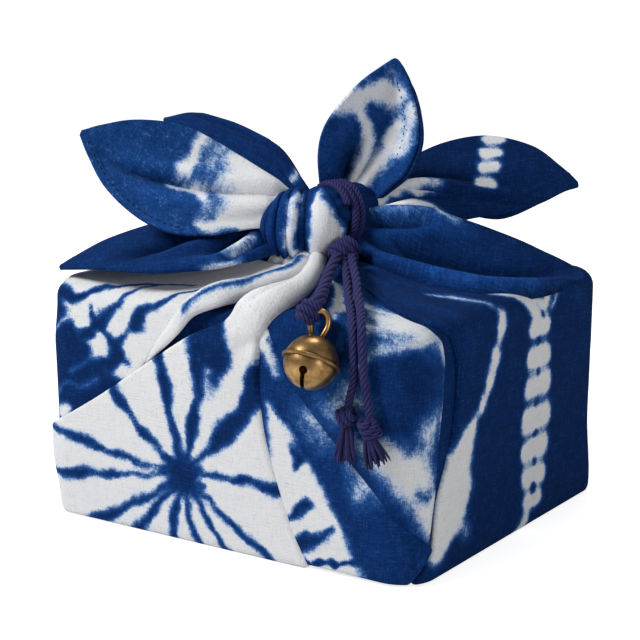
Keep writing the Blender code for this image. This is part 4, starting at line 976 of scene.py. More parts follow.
# Columns near a flap's edge: how far in from it each lies, and how deep the outermost are tucked.
edgeRoll = {"radius": 2.2, "steps": (1.2, 0.5, 0.0, 0.06, 0.2, 0.45, 0.8, 1.25, 1.75), "tuck": (-1.3, -1.0)}
# The flaps stand off the box's front left corner a little.
cornerSwell = {"height": 2.0, "place": 1, "width": 20, "low": (4, 26), "high": (86, 66)}
# Where the sunburst flap turns into its rolled neck, by the height of a row's middle.
neckMerge = {"start": 76, "end": 89, "share": (77, 88.5), "rows": 64, "crease": 0.13, "creaseAt": 118,
             "creaseWide": 13, "bend": (225, 190, -10, -45), "under": 10, "drift": 0.25}
# The upper sides of both rolls face away from this place in the box.
rollFoot = np.array((0.0, 0.0, 60.0))
footRoom = 0.35
# Share of the box's gathers that shows through a flap, how its painted shade and highlight, partly wear,
# follow its height, and how much darker it is painted over the top of the box, as shade.
flapRelief = {"gathers": 0.5, "shadingAndWear": 0.5, "topShade": 0.3}


def flapGrid(flap):
    # Points of one layer on the box, its long edges rolled down and tucked under, with its own (s, v) map.
    rows = smoothRows(flap["rails"], flap["size"][0])
    leftS, leftV, rightS, rightV, lift, crown = (rows[:, i:i + 1] for i in range(6))
    width, radius = rightS - leftS, edgeRoll["radius"]
    edge = np.array(edgeRoll["steps"])
    middle = np.linspace(0, 1, flap["size"][1])[None, :] * (width - 2 * radius) + radius
    step = np.concatenate([edge[None, :] + 0 * width, middle, width - edge[None, ::-1]], axis=1)
    share = step / width
    s, v = leftS + step, leftV + (rightV - leftV) * share
    near = np.minimum(step, width - step)
    rolled = np.sqrt(np.clip(1 - (1 - np.clip(near / radius, 0, 1)) ** 2, 0, 1))
    tucked = np.zeros((1, step.shape[1]))
    tucked[0, :2] = edgeRoll["tuck"]
    tucked[0, -2:] = edgeRoll["tuck"][::-1]
    rolled = np.where(tucked < 0, 0, rolled)
    swell = (cornerSwell["height"] * np.exp(-((s - cornerSwell["place"]) / cornerSwell["width"]) ** 2)
             * smoothStep(*cornerSwell["low"], v) * smoothStep(*cornerSwell["high"], v))
    gathered = flapRelief["gathers"] * relief(s, v)
    height = lift + crown * np.sin(np.pi * share) + box["sheet"] * (rolled - 1) + gathered + tucked + swell
    folds = foldsOf(s, v, flap["folds"]) * rolled
    # Painted shade in troughs and painted highlight on ridges, partly wear, and painted shade over the top
    # of the box.
    shadingAndWear = flapRelief["shadingAndWear"] * (folds + gathered - flapRelief["topShade"] * (v > box["height"]))
    return s, v, height + folds, shadingAndWear


def neckGrid(s, v, points):
    # Draws the top of the sunburst flap together into its rolled neck and carries it on to the knot.
    rows, columns = v.shape
    centreV = v.mean(axis=1)
    last = np.argmax(centreV > neckMerge["end"]) or rows - 1
    start = np.argmax(centreV > neckMerge["start"])
    onPlace = np.interp(centreV[start:last], [row[2] for row in neckRoll[:4]], (0, 1, 2, 3))
    beyond = np.linspace(onPlace[-1], len(neckRoll) - 1, neckMerge["rows"])[1:]
    roll = smoothRows(neckRoll, np.concatenate([onPlace, beyond]))
    path, wide, tall = roll[:, :3], roll[:, 3:4], roll[:, 4:5]
    # The sheet's columns go over the roll, and its edges a little way under it.
    under, edge = neckMerge["under"], columns - 1
    corners = (0, under, edge - under, edge)
    around = np.radians(np.interp(np.arange(columns), corners, neckMerge["bend"]))[None, :]
    off = (np.degrees(around) - neckMerge["creaseAt"]) / neckMerge["creaseWide"]
    crease = 1 - neckMerge["crease"] * np.exp(-off ** 2)
    rings = carried(path, path - rollFoot, wide, tall * crease, around)
    share = smoothStep(*neckMerge["share"], centreV[start:last])[:, None, None]
    count = last - start
    joined = points[start:last] * (1 - share) + rings[:count] * share
    gone = lengthAlong(path[count - 1:])[1:, None]
    extraS = s[last - 1:last] + neckMerge["drift"] * gone
    extraV = v[last - 1:last] + gone
    return (np.concatenate([points[:start], joined, rings[count:]]), np.concatenate([s[:last], extraS]),
            np.concatenate([v[:last], extraV]))


def makeFlap(name, flap):
    s, v, height, shadingAndWear = flapGrid(flap)
    points = onBox(s, v, height, footRoom)
    if name == "sunburstFlap":
        points, s, v = neckGrid(s, v, points)
        shadingAndWear = 0
    return clothPiece(name, points, flatMap(s, v), {"ink": inkOf(s, v, flap), "shadingAndWear": shadingAndWear}, sheetWall)


def makePetalRoll():
    rows, columns = petalRoll["size"]
    roll = smoothRows(petalRoll["rows"], rows)
    path, wide, tall = roll[:, :3], roll[:, 3:4], roll[:, 4:5]
    rings = carried(path, path - rollFoot, wide, tall, turnAround(columns))
    gone = lengthAlong(path)[:, None]
    u = np.linspace(0, petalRoll["girth"], columns + 1)[None, :]
    ink = inkOf(u[:, :-1] - petalRoll["girth"] / 4, gone, petalRoll)
    return clothPiece("petalRoll", rings, flatMap(u, gone), {"ink": ink}, loopColumns=True)


# Its marks are two columns of beads at the back and a light patch on the top.
innerWrap = {
    "ground": 0.95, "seed": 41, "columns": 211, "rows": 76, "under": (-75, -55, -35, -18, -8), "top": 160,
    "foot": (-4, 2),
    "marks": [
        ("white", 1.1, *([(350 + 4 * (i % 2), 10 + 12.5 * i, 4.2), (359 + 4 * (i % 2), 10 + 12.5 * i, 4.2)]
                         for i in range(7))),
        ("white", 1.1, *([(418, 12 + 14 * i, 3.4), (426, 13 + 14 * i, 3.8)] for i in range(6))),
        ("white", 3.5, [(380, 92, 3.0), (392, 106, 4.0), (400, 124, 3.0)]),
    ],
}


def makeInnerWrap():
    # The layer next to the gift: from the middle of the underside, up the sides and in to the knot.
    s = np.linspace(0, girth, innerWrap["columns"])[None, :]
    low, high = innerWrap["foot"]
    v = np.concatenate([innerWrap["under"], np.linspace(low, innerWrap["top"], innerWrap["rows"])])[:, None]
    # It lies in under the flaps, except on the underside, where nothing else covers it.
    inset = np.clip((v - low) / (high - low), 0, 1)
    points = onBox(s[:, :-1], v, -box["sheet"] * inset + relief(s[:, :-1], v))
    points[0] = points[0].mean(axis=0)
    return clothPiece("innerWrap", points, flatMap(s, v), {"ink": inkOf(s[:, :-1], v, innerWrap)}, sheetWall,
                      loopColumns=True, merge=True)


innerLayer = makeInnerWrap()
flaps = {name: makeFlap(name, flap) for name, flap in (
    ("petalFlap", petalFlap), ("cornerFlap", cornerFlap), ("sideFlap", sideFlap),
    ("diagonalFlap", diagonalFlap), ("sunburstFlap", sunburstFlap))}
rolledEdge = makePetalRoll()
print("flaps made")


# Sections of a leaf: out along its axis, rise over it, shift outward, half width, lean, cup, crease's place.
# Gathers are (count, depth, how far out they reach, phase).
leftLeaf = {
    "angle": 157.5, "sharp": 1.25, "seed": 51, "ground": 0.3, "gathers": (3, 0.9, 30, 0.1),
    "hem": {"side": -1, "start": 44, "stop": 90, "inset": 3.4},
    "sections": [(8, 2, 0, 7.5, 36, 3, 0), (20, 1.4, 3.5, 12, 39, 1, 0.1),
        (33, -0.8, 5.2, 18.4, 41, -1.5, 0.1), (46, -2.3, 4.6, 22.4, 40, -2.5, 0),
        (60, -2.1, 3, 21.9, 37, -2.5, -0.1), (76, -1.7, 2.6, 15.4, 33, -1.2, -0.1),
        (87, -0.7, 2.2, 6.8, 32, -0.4, -0.1), (93, 0, 2, 0.8, 32, 0, 0)],
    "folds": [(-2.4, [(84, -2.8, -0.6), (71.5, -4.4, -2.2), (61.2, -2.9, -3.8), (51.5, 0.4, -4.6),
                (38.9, 2.8, -4.4), (16.7, 4.1, -2.8)]),
              (4, [(80, 0.5, 0.5), (70, 0, 1.6), (60, 2, 2.5), (50, 5.2, 2.8), (38, 7.4, 2.4),
                (18, 8.4, 1.2)]),
              (4.6, [(72, -10, 1), (60, -9, 2.2), (48, -6.8, 2.8), (36, -4, 2.4), (20, -2, 1.4)]),
              (3.4, [(46, 16, 0), (34, 15, 0.9), (18, 10.5, 1.2)]),
              (2.6, [(44, -15, 0), (34, -12, -0.9), (20, -7.5, -1.2)])],
    "marks": [
        ("white", 1.2, [(48.5, 23, 2.6), (49.6, 16, 2.2), (50.6, 10, 2), (51.6, 5.2, 3)]),
        ("pale", 1.6, [(42.5, 22, 4.4), (42.5, 13, 4.6), (41.5, 5.5, 5)]),
        ("blue", 1.2, [(45.6, 22, 1.3), (45.6, 13.4, 1.9), (44.8, 6.5, 2.8)],
         [(40.6, 21, 0.7), (40.4, 14, 1.1), (39.6, 7.3, 1.9)]),
        ("white", 1.5, [(36.5, 17, 2.2), (30, 14.5, 6.5), (20, 10.5, 7), (8, 7, 8)]),
        ("white", 1.3, [(36, 7.5, 1.6), (30, 6.5, 3.4), (18, 5.5, 4)]),
        ("white", 1.2, [(54, -2.6, 0.7), (49, -2, 1.2), (46, -1, 1.3)],
         [(44, 0.2, 1.7), (41, -3.2, 2.4), (38.5, -5.8, 1.4)]),
        ("pale", 1.8, [(38.5, -5, 1), (37, -9, 1.6), (38, -13, 1.4)]),
        ("white", 1.4, [(34, 0.6, 1.6), (29, 0, 3.6), (20, 0.5, 5)]),
        ("white", 1.5, [(38.5, -15.5, 1.2), (33, -13, 3.6), (28, -8.5, 6.2), (16, -6, 8)]),
        ("blue", 1.6, [(36.5, -2.5, 1.2), (34.5, -6.5, 2.4), (36, -10.5, 1.4)]),
    ],
}
leftBackLeaf = {
    "angle": 147.4, "sharp": 1.6, "seed": 52, "ground": 0.8, "gathers": (3, 1.4, 36, 0.4),
    "spread": (-1, 0.76), "second": {"side": 1, "reach": 0, "back": 1.8, "start": 6, "stop": 68},
    "sections": [(6, 7, -7, 5, 38, 0.6, 0), (23, 11.4, -14.1, 8.8, 47, 1.6, 0),
        (36, 10, -19.7, 10.2, 54, 2.2, 0), (49, 7.3, -24.2, 10.4, 60, 2.2, 0),
        (60, 4, -29.2, 8.2, 59, 1.4, 0), (68, -0.5, -36, 1.2, 70, 0, 0)],
    "folds": [(1.6, [(14, 3, -0.5), (34, 4.2, -1.2), (52, 4.6, -1.2), (62, 3, 0)]),
              (1.6, [(30, 6.8, 0.3), (44, 7.8, 0.9), (56, 7, 0.5)])],
    "marks": [("white", 1.2, [(16, 6, 0.7), (14.5, 3, 1.2), (14, -0.5, 1)])],
}
leftLowFlap = {
    "angle": -171, "sharp": 1.8, "seed": 53, "ground": 0.8, "gathers": (3, 1, 36, 0.2),
    "sections": [(9, -2.5, 4, 6, 50, 0.8, 0), (28, -0.6, 11, 15, 66, 1.5, -0.1),
        (44, 2.4, 14.5, 21.5, 72, 1.8, -0.1), (60, 3.4, 16.5, 22.5, 77, 1.2, -0.1),
        (77, 3.4, 14.5, 15.5, 80, 0.6, 0), (89, 1.6, 12, 7, 82, 0.2, 0), (95, 0.4, 11, 1.5, 84, 0, 0)],
    "folds": [(4.4, [(73, -11, 0), (66, -7.5, -1.8), (60.6, -3.9, -3.4), (52.7, -1.1, -5.2),
                (44.2, 0.6, -5.6), (34, 3, -3.8)]),
              (3, [(56, -14.5, 0.6), (47, -8.5, 1.8), (41, -3.6, 2.6), (35, 0.3, 2.2), (27, 3.4, 1)]),
              (3.2, [(41, -15, -0.5), (35, -9.5, -2.6), (29, -2.2, -4.6), (24.6, 4, -4.2), (17, 7, -2)]),
              (2.6, [(60, -20.5, 0.4), (46, -18.5, 1.6), (36, -13.6, 2.6), (29.1, -7.2, 3.2),
                (21.5, 0.2, 2.8), (13, 3, 1.4)]),
              (1.5, [(34, -15.6, -0.4), (29, -11.4, -1.5), (22, -5.4, -2), (15, -1.4, -1)]),
              (1.9, [(31, -17, 0.5), (24, -11, 1.5), (18, -7, 1.6)])],
    "marks": [
        ("blue", 2.6, [(44, -18, 0.8), (34, -12.4, 1.3), (22, -0.5, 1.1)]),
        ("white", 2.2, [(30, -8.6, 0.6), (26.6, -5, 1.7), (23, -1.5, 0.8)]),
        ("white", 1.4, [(39, -20.5, 0.5), (33, -18, 1.1), (27, -15, 0.8)]),
    ],
}
# White end of a gather that shows under the knot.
underFold = {
    "angle": -126, "sharp": 1.6, "seed": 58, "ground": -1, "gathers": (2, 0.4, 26, 0.2),
    "sections": [(8, 0.6, 6, 3.4, 25, 0.8, 0), (14, 0.4, 9.5, 5, 28, 1.2, 0),
        (20, 0, 11.5, 5.6, 32, 1.4, 0), (25, -0.6, 12.4, 4.2, 36, 1, 0), (28.4, -1, 12.6, 1.9, 38, 0.4, 0),
        (29.4, -1.1, 12.6, 0.3, 38, 0, 0)],
    "folds": [(1.4, [(12, 0.5, -0.6), (22, 1.5, -0.9)])],
    "marks": [("blue", 2, [(26, -4.4, 0.8), (20, -5.6, 0.9)])],
}
topLeaf = {
    "angle": 62.2, "sharp": 1.9, "seed": 54, "ground": 0.4, "gathers": (3, 0.8, 30, 0.3),
    "hem": {"side": -1, "start": 38, "stop": 69, "inset": 6.2},
    "second": {"side": -1, "reach": 2.2, "back": 2, "start": 16, "stop": 70},
    "sections": [(11, -7.5, -9, 8, 6, -2, 0), (25, -5.6, -3, 14.6, 8, -9, 0.2),
        (36, -5.4, 2, 17.4, 6, -12.5, 0.2), (48, -5.2, 3, 15.8, 5, -10.5, 0.2),
        (58, -3.7, 1.8, 11.2, 5, -6.5, 0.2), (66, -1.9, 0.4, 5.4, 4, -2.4, 0.1), (71, 0, 0, 0.9, 4, 0, 0)],
    "folds": [(1.9, [(44, 6, 0.5), (38, 0.8, 1.5), (31, -0.7, 2.3), (23, -0.4, 2.4), (14, 0.2, 1.6)]),
              (3.6, [(36, 9, -0.8), (30, 5, -3.4), (24, 3.6, -4.4), (15, 3, -3)]),
              (2, [(43, -2.4, -0.5), (35, -3.2, -2), (27, -3, -2.2), (18, -2, -1.4)]),
              (2.8, [(40, -7.6, 0.7), (30, -6.2, 1.6), (20, -4.8, 1.6)]),
              (2.2, [(34, -10, -0.5), (26, -8.8, -1.4), (18, -7.4, -1.2)]),
              (4, [(44, 12, 0.8), (34, 13, 1.2), (22, 9, 0.8)])],
    "marks": [
        ("white", 1.2, [(43.6, 15.8, 1.1), (46, 14.4, 2.3), (49.5, 13, 2.8), (52.6, 11, 2.6)]),
        ("white", 1.1, [(47.6, 9.6, 2.2), (42.5, 4, 1.9), (38.1, 0.8, 1.8), (31.7, -0.7, 1.6),
          (25.8, -0.6, 1.4), (18, 0, 1.2)]),
        ("white", 1.3, [(51.6, 10.6, 1.8), (55.6, 7.5, 3.2), (57.4, 3, 4), (58.4, -2, 3.7), (61, -4.4, 1.8)],
         [(52.5, -6.4, 1.7), (46.8, -7.4, 2.9), (39.5, -7.6, 3.2), (30, -5.9, 2.8), (22.5, -4.2, 2.4),
          (14, -3, 2.2)]),
        ("pale", 1.6, [(58.6, -8.4, 1.7), (54.1, -11, 1.4)]),
        ("white", 1.2, [(57, -9.8, 0.9), (55.4, -10.6, 0.9)], [(50.8, -12, 1.3), (46.6, -12.6, 1.1)],
         [(43.4, -12.2, 1.2), (40.8, -12, 0.5)]),
        ("blue", 1.4, [(38.4, -5.8, 0.4), (35, -5, 0.8)]),
        ("blue", 1.6, [(53.4, -3.6, 0.7), (51.6, -5.6, 0.8)]),
        ("pale", 2, [(66.5, 1.6, 0.5), (63.5, -1.6, 0.7)]),
    ],
}
rightBackLeaf = {
    # The whole leaf is painted darker, as shade on the bow's right side.
    "angle": 6.5, "sharp": 1.5, "seed": 55, "ground": 1, "gathers": (4, 1.8, 46, 0.15), "paintedShade": 0.35,
    "uneven": 0.3, "hem": {"side": -1, "start": 60, "stop": 104, "inset": 6.6},
    "sections": [(20, 4.6, -7, 6, 42, 1, 0), (40, 10.1, -14.1, 10, 45, 2.4, -0.2),
        (56, 9, -22.1, 16, 42, 2.4, -0.4), (74, 6.1, -26.5, 19.2, 39, 2.2, -0.4),
        (91, 5, -28.2, 13.4, 40, 1.2, -0.3), (101, 2.1, -28.1, 6, 40, 0.5, 0),
        (107, -0.7, -27.5, 1, 38, 0, 0)],
    "folds": [(2.2, [(28, -2.5, 1.8), (40, -3.6, 2.6), (52, -5, 2.4), (66, -8.5, 1.6), (82, -9.5, 0.5),
                (94, -6, 0)]),
              (-2, [(28, 1.2, -1.6), (44, 0.4, -2.6), (58, -1.4, -2.4), (74, -5, -1), (88, -6, 0)]),
              (3.4, [(60, 6, 0.6), (78, 4, 0.9), (94, 1, 0)])],
    "marks": [
        ("white", 0.8, [(74, 16.8, 2.8), (78.4, 17.2, 2.7)], [(71.8, 9.9, 2.9), (76.6, 10.4, 2.8)],
         [(70.4, 3.1, 2.8), (75, 3.5, 2.7)], [(68.6, -3.9, 3.2), (71.8, -4.2, 3.1)]),
        ("white", 1.5, [(24, -3, 3.4), (36, -4, 2.8), (45, -4.4, 2.4), (52, -5.4, 1)]),
    ],
}
rightBackFold = {
    "angle": 6.5, "sharp": 1.7, "seed": 57, "ground": 0.9, "gathers": (2, 0.5, 50, 0.2),
    "sections": [(15, 1.2, 0.5, 3.4, 40, 0.5, 0), (24, 2.6, -2.6, 5.2, 42, 1.2, 0),
        (40, 2.9, -5, 7.4, 45, 2.2, 0), (54, -0.9, -10.4, 6.8, 42, 2, 0.1),
        (66, -3.4, -13.6, 4, 40, 1.4, 0.1), (76, -5.2, -15, 1.6, 39, 0.7, 0),
        (82, -5.6, -16.2, 0.3, 39, 0, 0)],
    "folds": [(1.7, [(20, -0.4, -1), (32, 1, -2.2), (44, 2.6, -2.2), (56, 2.4, -0.4)]),
              (2, [(24, 2.2, 0.9), (40, 5.6, 1.1)]),
              (2.2, [(24, -3, 1), (40, -2.4, 1.5), (52, -4.4, 0.7)])],
    "marks": [
        ("white", 1.2, [(12, 0.5, 3), (24, 1.2, 3), (34, 3.6, 3), (44, 6, 2.2), (52, 6.8, 0.9)],
         [(20, -2, 2.4), (30, -2, 2.9), (40, -2, 2.5), (48, -3.8, 1.4), (54, -5.4, 0.4)]),
        ("indigo", 1.4, [(30, 0.8, 0.2), (38, 2.4, 0.4), (47, 2.6, 1), (55, 1.6, 1.4)]),
    ],
}
rightLowLeaf = {
    "angle": -10.5, "sharp": 1.5, "seed": 56, "ground": 0.85, "gathers": (3, 0.8, 34, 0.35),
    "curls": [(-1, 0.78, -3, 18, 108), (1, 0.7, -1.5, 40, 100)], "spread": (-1.04, 1),
    "sections": [(15, 1.6, 2, 6.5, 30, -1, 0), (34, 4.1, 17.5, 15.5, 50, -6, 0),
        (49, 4.6, 23.6, 20.4, 58, -7, 0), (66, 3.8, 24.8, 21, 63, -6.6, 0.1),
        (84, 2.8, 18, 16, 66, -4.8, 0.1), (97, 1, 7, 8.8, 68, -2.2, 0.1), (103, 0.2, 2, 5.6, 72, -1, 0),
        (106.4, -0.2, 1, 3.2, 75, -0.4, 0), (107.6, -0.3, 0.8, 0.4, 75, 0, 0)],
    "folds": [(2.6, [(18, 7, 1.1), (24, 9.8, 2.1), (32.2, 13.2, 2.8), (41.8, 17.6, 2.2), (52, 18.5, 0.8)]),
              (2.2, [(18, 4, -1.7), (26.4, 6, -3.9), (37.3, 10.2, -4.8), (43, 13.6, -2.5),
                (47.5, 15.5, 0)]),
              (3, [(18, 1.5, 1.4), (31.1, 4, 3.6), (41.8, 7.8, 3.9), (48.6, 12.6, 2.2), (60, 13.5, 0.6)]),
              (5.2, [(24, -2.5, -1.7), (36.8, -2, -5), (48.6, -2.6, -7.3), (61.1, -3, -7.3),
                (75.6, -3, -5.3), (90, -1.5, -1.7)]),
              (1.6, [(20, 1, 0.8), (29, 0.2, 2.5), (36, -1.4, 3.1), (42, -5, 1.7), (47, -8, 0)]),
              (3.4, [(18, -4.2, 1.4), (34, -10.8, 4.5), (49, -14.6, 5.6), (66, -15, 5.3), (84, -11.2, 3.9),
                (96, -6, 1.7)])],
    # The blue and pale lines along the upper ridge and the blue line on the lower roll are painted
    # highlight; the broad indigo line along the trough is painted shade.
    "marks": [
        ("blue", 3, [(22, 9, 1), (34, 13.8, 1.6), (48, 17.6, 1.4), (58, 17.5, 0.6)]),
        ("indigo", 4, [(34, -3, 2), (50, -4, 6), (70, -4, 6), (88, -2, 3)]),
        ("blue", 3, [(46, -15.6, 0.8), (66, -16, 1.2), (84, -12, 1)]),
        ("pale", 3.4, [(18, 7.5, 0.8), (30, 12.4, 1.2), (40, 16.4, 0.8)]),
        ("white", 1.8, [(47, 19.4, 0.2), (54, 18.8, 0.4)]),
    ],
}
leaves = {
    "leftBackLeaf": leftBackLeaf, "rightBackLeaf": rightBackLeaf, "rightBackFold": rightBackFold,
    "leftLowFlap": leftLowFlap, "underFold": underFold, "rightLowLeaf": rightLowLeaf, "leftLeaf": leftLeaf,
    "topLeaf": topLeaf,
}
leafGrid = {"rows": 104, "columns": 51, "edgeColumns": 24, "edgeFrom": 0.45, "finer": 0.08,
            "foldFade": (0.6, 6), "shadingAndWearHeight": 3}
# A leaf's gathers sway across it and drift along it, and grow out of the knot between two lengths.
gatherLines = {"sway": 0.22, "waves": 2.7, "phase": 5, "drift": 0.012, "middle": 0.6, "from": 8}
curlEnds = {"run": 14, "most": 1.3, "power": 1.6}
hemRidge = {"rise": 0.5, "edge": (1.2, 0.6), "start": 12, "stop": 3}
stitch = {"length": 1.75, "every": 2.75, "first": 0.6, "spare": 2.2, "radius": 0.3, "sink": 0.22,
          "over": 0.66, "outside": 0.4, "rows": 9, "sides": 8}


def leafPoints(leaf, rows, across_, offset):
    # Row by row: along the leaf's axis, then across it at its lean, hollowed towards its crease.
    angle = math.radians(leaf["angle"])
    axis = across * math.cos(angle) + upward * math.sin(angle)
    over = upward * abs(math.cos(angle)) - across * math.sin(angle) * math.copysign(1, math.cos(angle))
    out, rise, toward, half, lean, cup, crease = (rows[:, i:i + 1] for i in range(7))
    lean = np.radians(lean)
    bent = np.where(across_ < crease, (crease - across_) / (1 + crease), (across_ - crease) / (1 - crease))
    depth = cup * (1 - np.clip(bent, 0, 1.2) ** leaf["sharp"]) + offset
    return (knotCentre + axis * (out + 0 * across_)[..., None]
            + over * (rise + half * across_ * np.cos(lean) + depth * np.sin(lean))[..., None]
            + outward * (toward - half * across_ * np.sin(lean) + depth * np.cos(lean))[..., None])


def leafLift(leaf, rows, share):
    # Height of folds, gathers, curled edges and hem over the leaf's plain shape.
    out, place = rows[:, :1] + 0 * share, rows[:, 3:4] * share
    fade, power = leafGrid["foldFade"]
    lift = foldsOf(out, place, leaf["folds"]) * (1 - fade * np.clip(share, -1, 1) ** power)
    count, depth, reach, phase = leaf["gathers"]
    sway = gatherLines["sway"] * np.sin(gatherLines["waves"] * share + gatherLines["phase"] * phase)
    lines = np.cos(math.pi * (count * share / 2 + sway + gatherLines["drift"] * out + phase))
    grown = smoothStep(reach, gatherLines["from"], out)
    lift = lift + depth * (np.abs(lines) - gatherLines["middle"]) * grown
    for side, start, amount, low, high in leaf.get("curls", []):
        inside = smoothStep(low, low + curlEnds["run"], out) * smoothStep(high, high - curlEnds["run"], out)
        curl = np.clip((side * share - start) / (1 - start), 0, curlEnds["most"]) ** curlEnds["power"]
        lift = lift + amount * curl * inside
    hem = leaf.get("hem")
    if hem:
        gap, start, stop = rows[:, 3:4] * (1 - hem["side"] * share), hem["start"], hem["stop"]
        begins = smoothStep(start - hemRidge["start"], start, out)
        ends = smoothStep(stop + hemRidge["stop"], stop - hemRidge["stop"], out)
        outer, inner = (hem["inset"] + edge for edge in hemRidge["edge"])
        lift = lift + hemRidge["rise"] * smoothStep(outer, inner, gap) * (begins * ends)
    return out, place, lift


def rowsWithin(leaf, count, limits):
    rows = smoothRows(leaf["sections"], count)
    return rows[(rows[:, 0] > limits["start"]) & (rows[:, 0] < limits["stop"])]


def makeLeaf(name, leaf):
    rows = smoothRows(leaf["sections"], leafGrid["rows"])
    low, high = leaf.get("spread", (-1, 1))
    share = np.linspace(-1, 1, leafGrid["columns"])[None, :]
    # Columns lie closer together towards the leaf's edges.
    finer = leafGrid["finer"]
    share = (low + high) / 2 + (high - low) / 2 * share * (1 + finer - finer * share ** 2)
    out, place, lift = leafLift(leaf, rows, share)
    # Painted shade where the leaf's lift is low and painted highlight where it is high, partly wear; some
    # leaves are painted darker all over, as shade.
    shadingAndWear = np.clip(lift / leafGrid["shadingAndWearHeight"] - leaf.get("paintedShade", 0), -1, 1)
    marks = {"ink": inkOf(out, place, leaf), "shadingAndWear": shadingAndWear}
    return clothPiece(name, leafPoints(leaf, rows, share, lift), flatMap(out, place), marks, leafWall)


def makeSecondLayer(name, leaf):
    # The doubled edge behind a leaf: a strip of the same sheet a little further out and back.
    second = leaf["second"]
    rows = rowsWithin(leaf, leafGrid["rows"], second)
    half = np.maximum(rows[:, 3:4], 0.5)
    share = second["side"] * np.linspace(leafGrid["edgeFrom"], 1, leafGrid["edgeColumns"])[None, :]
    grow = second["reach"] / half * np.sin(np.linspace(0, math.pi, len(rows)))[:, None] ** 0.5
    share = share * (1 + grow * np.abs(share) ** 3)
    out, place, lift = leafLift(leaf, rows, np.clip(share, -1, 1))
    points = leafPoints(leaf, rows, share, lift - second["back"])
    # Columns run the same way across as the leaf's own, so that both face alike.
    order = slice(None, None, 1 if second["side"] > 0 else -1)
    return clothPiece(name, points[:, order], flatMap(out, place)[:, order], {"ink": 1.0}, edgeWall)


def makeStitches(name, leaf):
    # A running stitch: short capsules along a line inside the leaf's edge, half sunk in the cloth.
    hem, count = leaf["hem"], stitch["rows"]
    rows = rowsWithin(leaf, 400, hem)
    share = hem["side"] * (1 - (hem["inset"] - stitch["outside"]) / rows[:, 3:4])
    use = (share * hem["side"] > 0)[:, 0]
    rows, share = rows[use], share[use]
    lift = leafLift(leaf, rows, share)[2]
    low, high = (leafPoints(leaf, rows, share, lift + stitch["over"] + rise)[:, 0] for rise in (0, 1))
    gone = lengthAlong(low)
    starts = np.arange(stitch["first"], gone[-1] - stitch["spare"], stitch["every"])
    along = starts[:, None] + np.linspace(0, stitch["length"], count)[None, :]
    path = np.stack([np.interp(along, gone, low[:, i]) for i in range(3)], axis=-1)
    lift = unit(np.stack([np.interp(along, gone, (high - low)[:, i]) for i in range(3)], axis=-1))
    side = np.cross(unit(np.gradient(path, axis=1)), lift)
    bow = np.sin(np.linspace(0, math.pi, count))[None, :, None]
    path = path + lift * (bow - 1) * stitch["sink"]
    turn, wide = turnAround(stitch["sides"])[None], stitch["radius"] * np.sqrt(bow + 0.001)
    rings = (path[:, :, None] + side[:, :, None] * (wide * np.cos(turn))[..., None]
             + lift[:, :, None] * (wide * np.sin(turn))[..., None])
    uv = flatMap(np.linspace(0, 2, stitch["sides"] + 1)[None, None, :], along[:, :, None])
    return gridPiece(name, rings, stitchThread, loopColumns=True, uv=uv, merge=True)


# Pleats of the knot: place across it, half width and height. Creases are finer.
pleats = [(-0.9, 0.1, 1), (-0.72, 0.1, 1.4), (-0.53, 0.105, 1.5), (-0.33, 0.12, 1.5), (-0.14, 0.07, 0.5),
          (0.33, 0.4, 1.9), (0.86, 0.15, 1)]
creases = [(0.7, [(8, -10, -0.3), (9, 20, -0.3)]), (0.6, [(-12.5, -20, -0.3), (-12.5, 30, -0.3)])]
knotBand = {
    "size": (160, 110), "girth": 107, "inset": 3.4, "bulge": (4.6, 3.2), "pleatHeight": 2.1,
    "flatter": 0.08, "left": 20, "right": 16, "radius": 17, "seed": 61, "ground": 0.75,
    "crowd": 0.35, "slant": 0.05, "skew": 1.5, "behind": 0.38, "drawing": (1.6, 0.8), "pleatBehind": 0.4,
    "marks": [
        ("white", 1.5, [(3.6, 20, 0.8), (3.6, 13, 2.4), (5.2, 7, 4.8), (6.4, 0, 6.6), (5, -6, 6),
          (2.6, -11, 4.2), (0.6, -18, 2.4)]),
        ("white", 1.2, [(-3.4, 20, 0.8), (-4.8, 13, 1.7), (-6.2, 4, 2.2), (-6.8, -1, 2.3), (-6, -7, 2.4),
          (-4, -12, 2.4), (-1.5, -18, 1.6)]),
        ("blue", 1.4, [(-3, 12, 0.5), (-4.2, 4, 0.6), (-4.6, -2, 0.6), (-4, -8, 0.6)]),
        ("indigo", 1.2, [(1.2, 24, 1.5), (0.2, 13, 1), (-2.2, 4, 0.7), (-2.9, -1, 0.7), (-2.4, -6, 0.8),
          (-0.8, -12, 1), (1, -18, 1.4)]),
    ],
}
# The neck's rows are (place along the turns' axis, radius), its pleats (count, share of the radius).
neckBand = {
    "rows": [(-9, 7.5), (-5, 10.2), (4.5, 10.5), (8.5, 10.4), (13, 8.6), (17, 4.8), (18.6, 0.05)],
    "around": 120, "steps": 60, "girth": 66, "pleats": ((12, 0.045), (5, 0.03)),
}


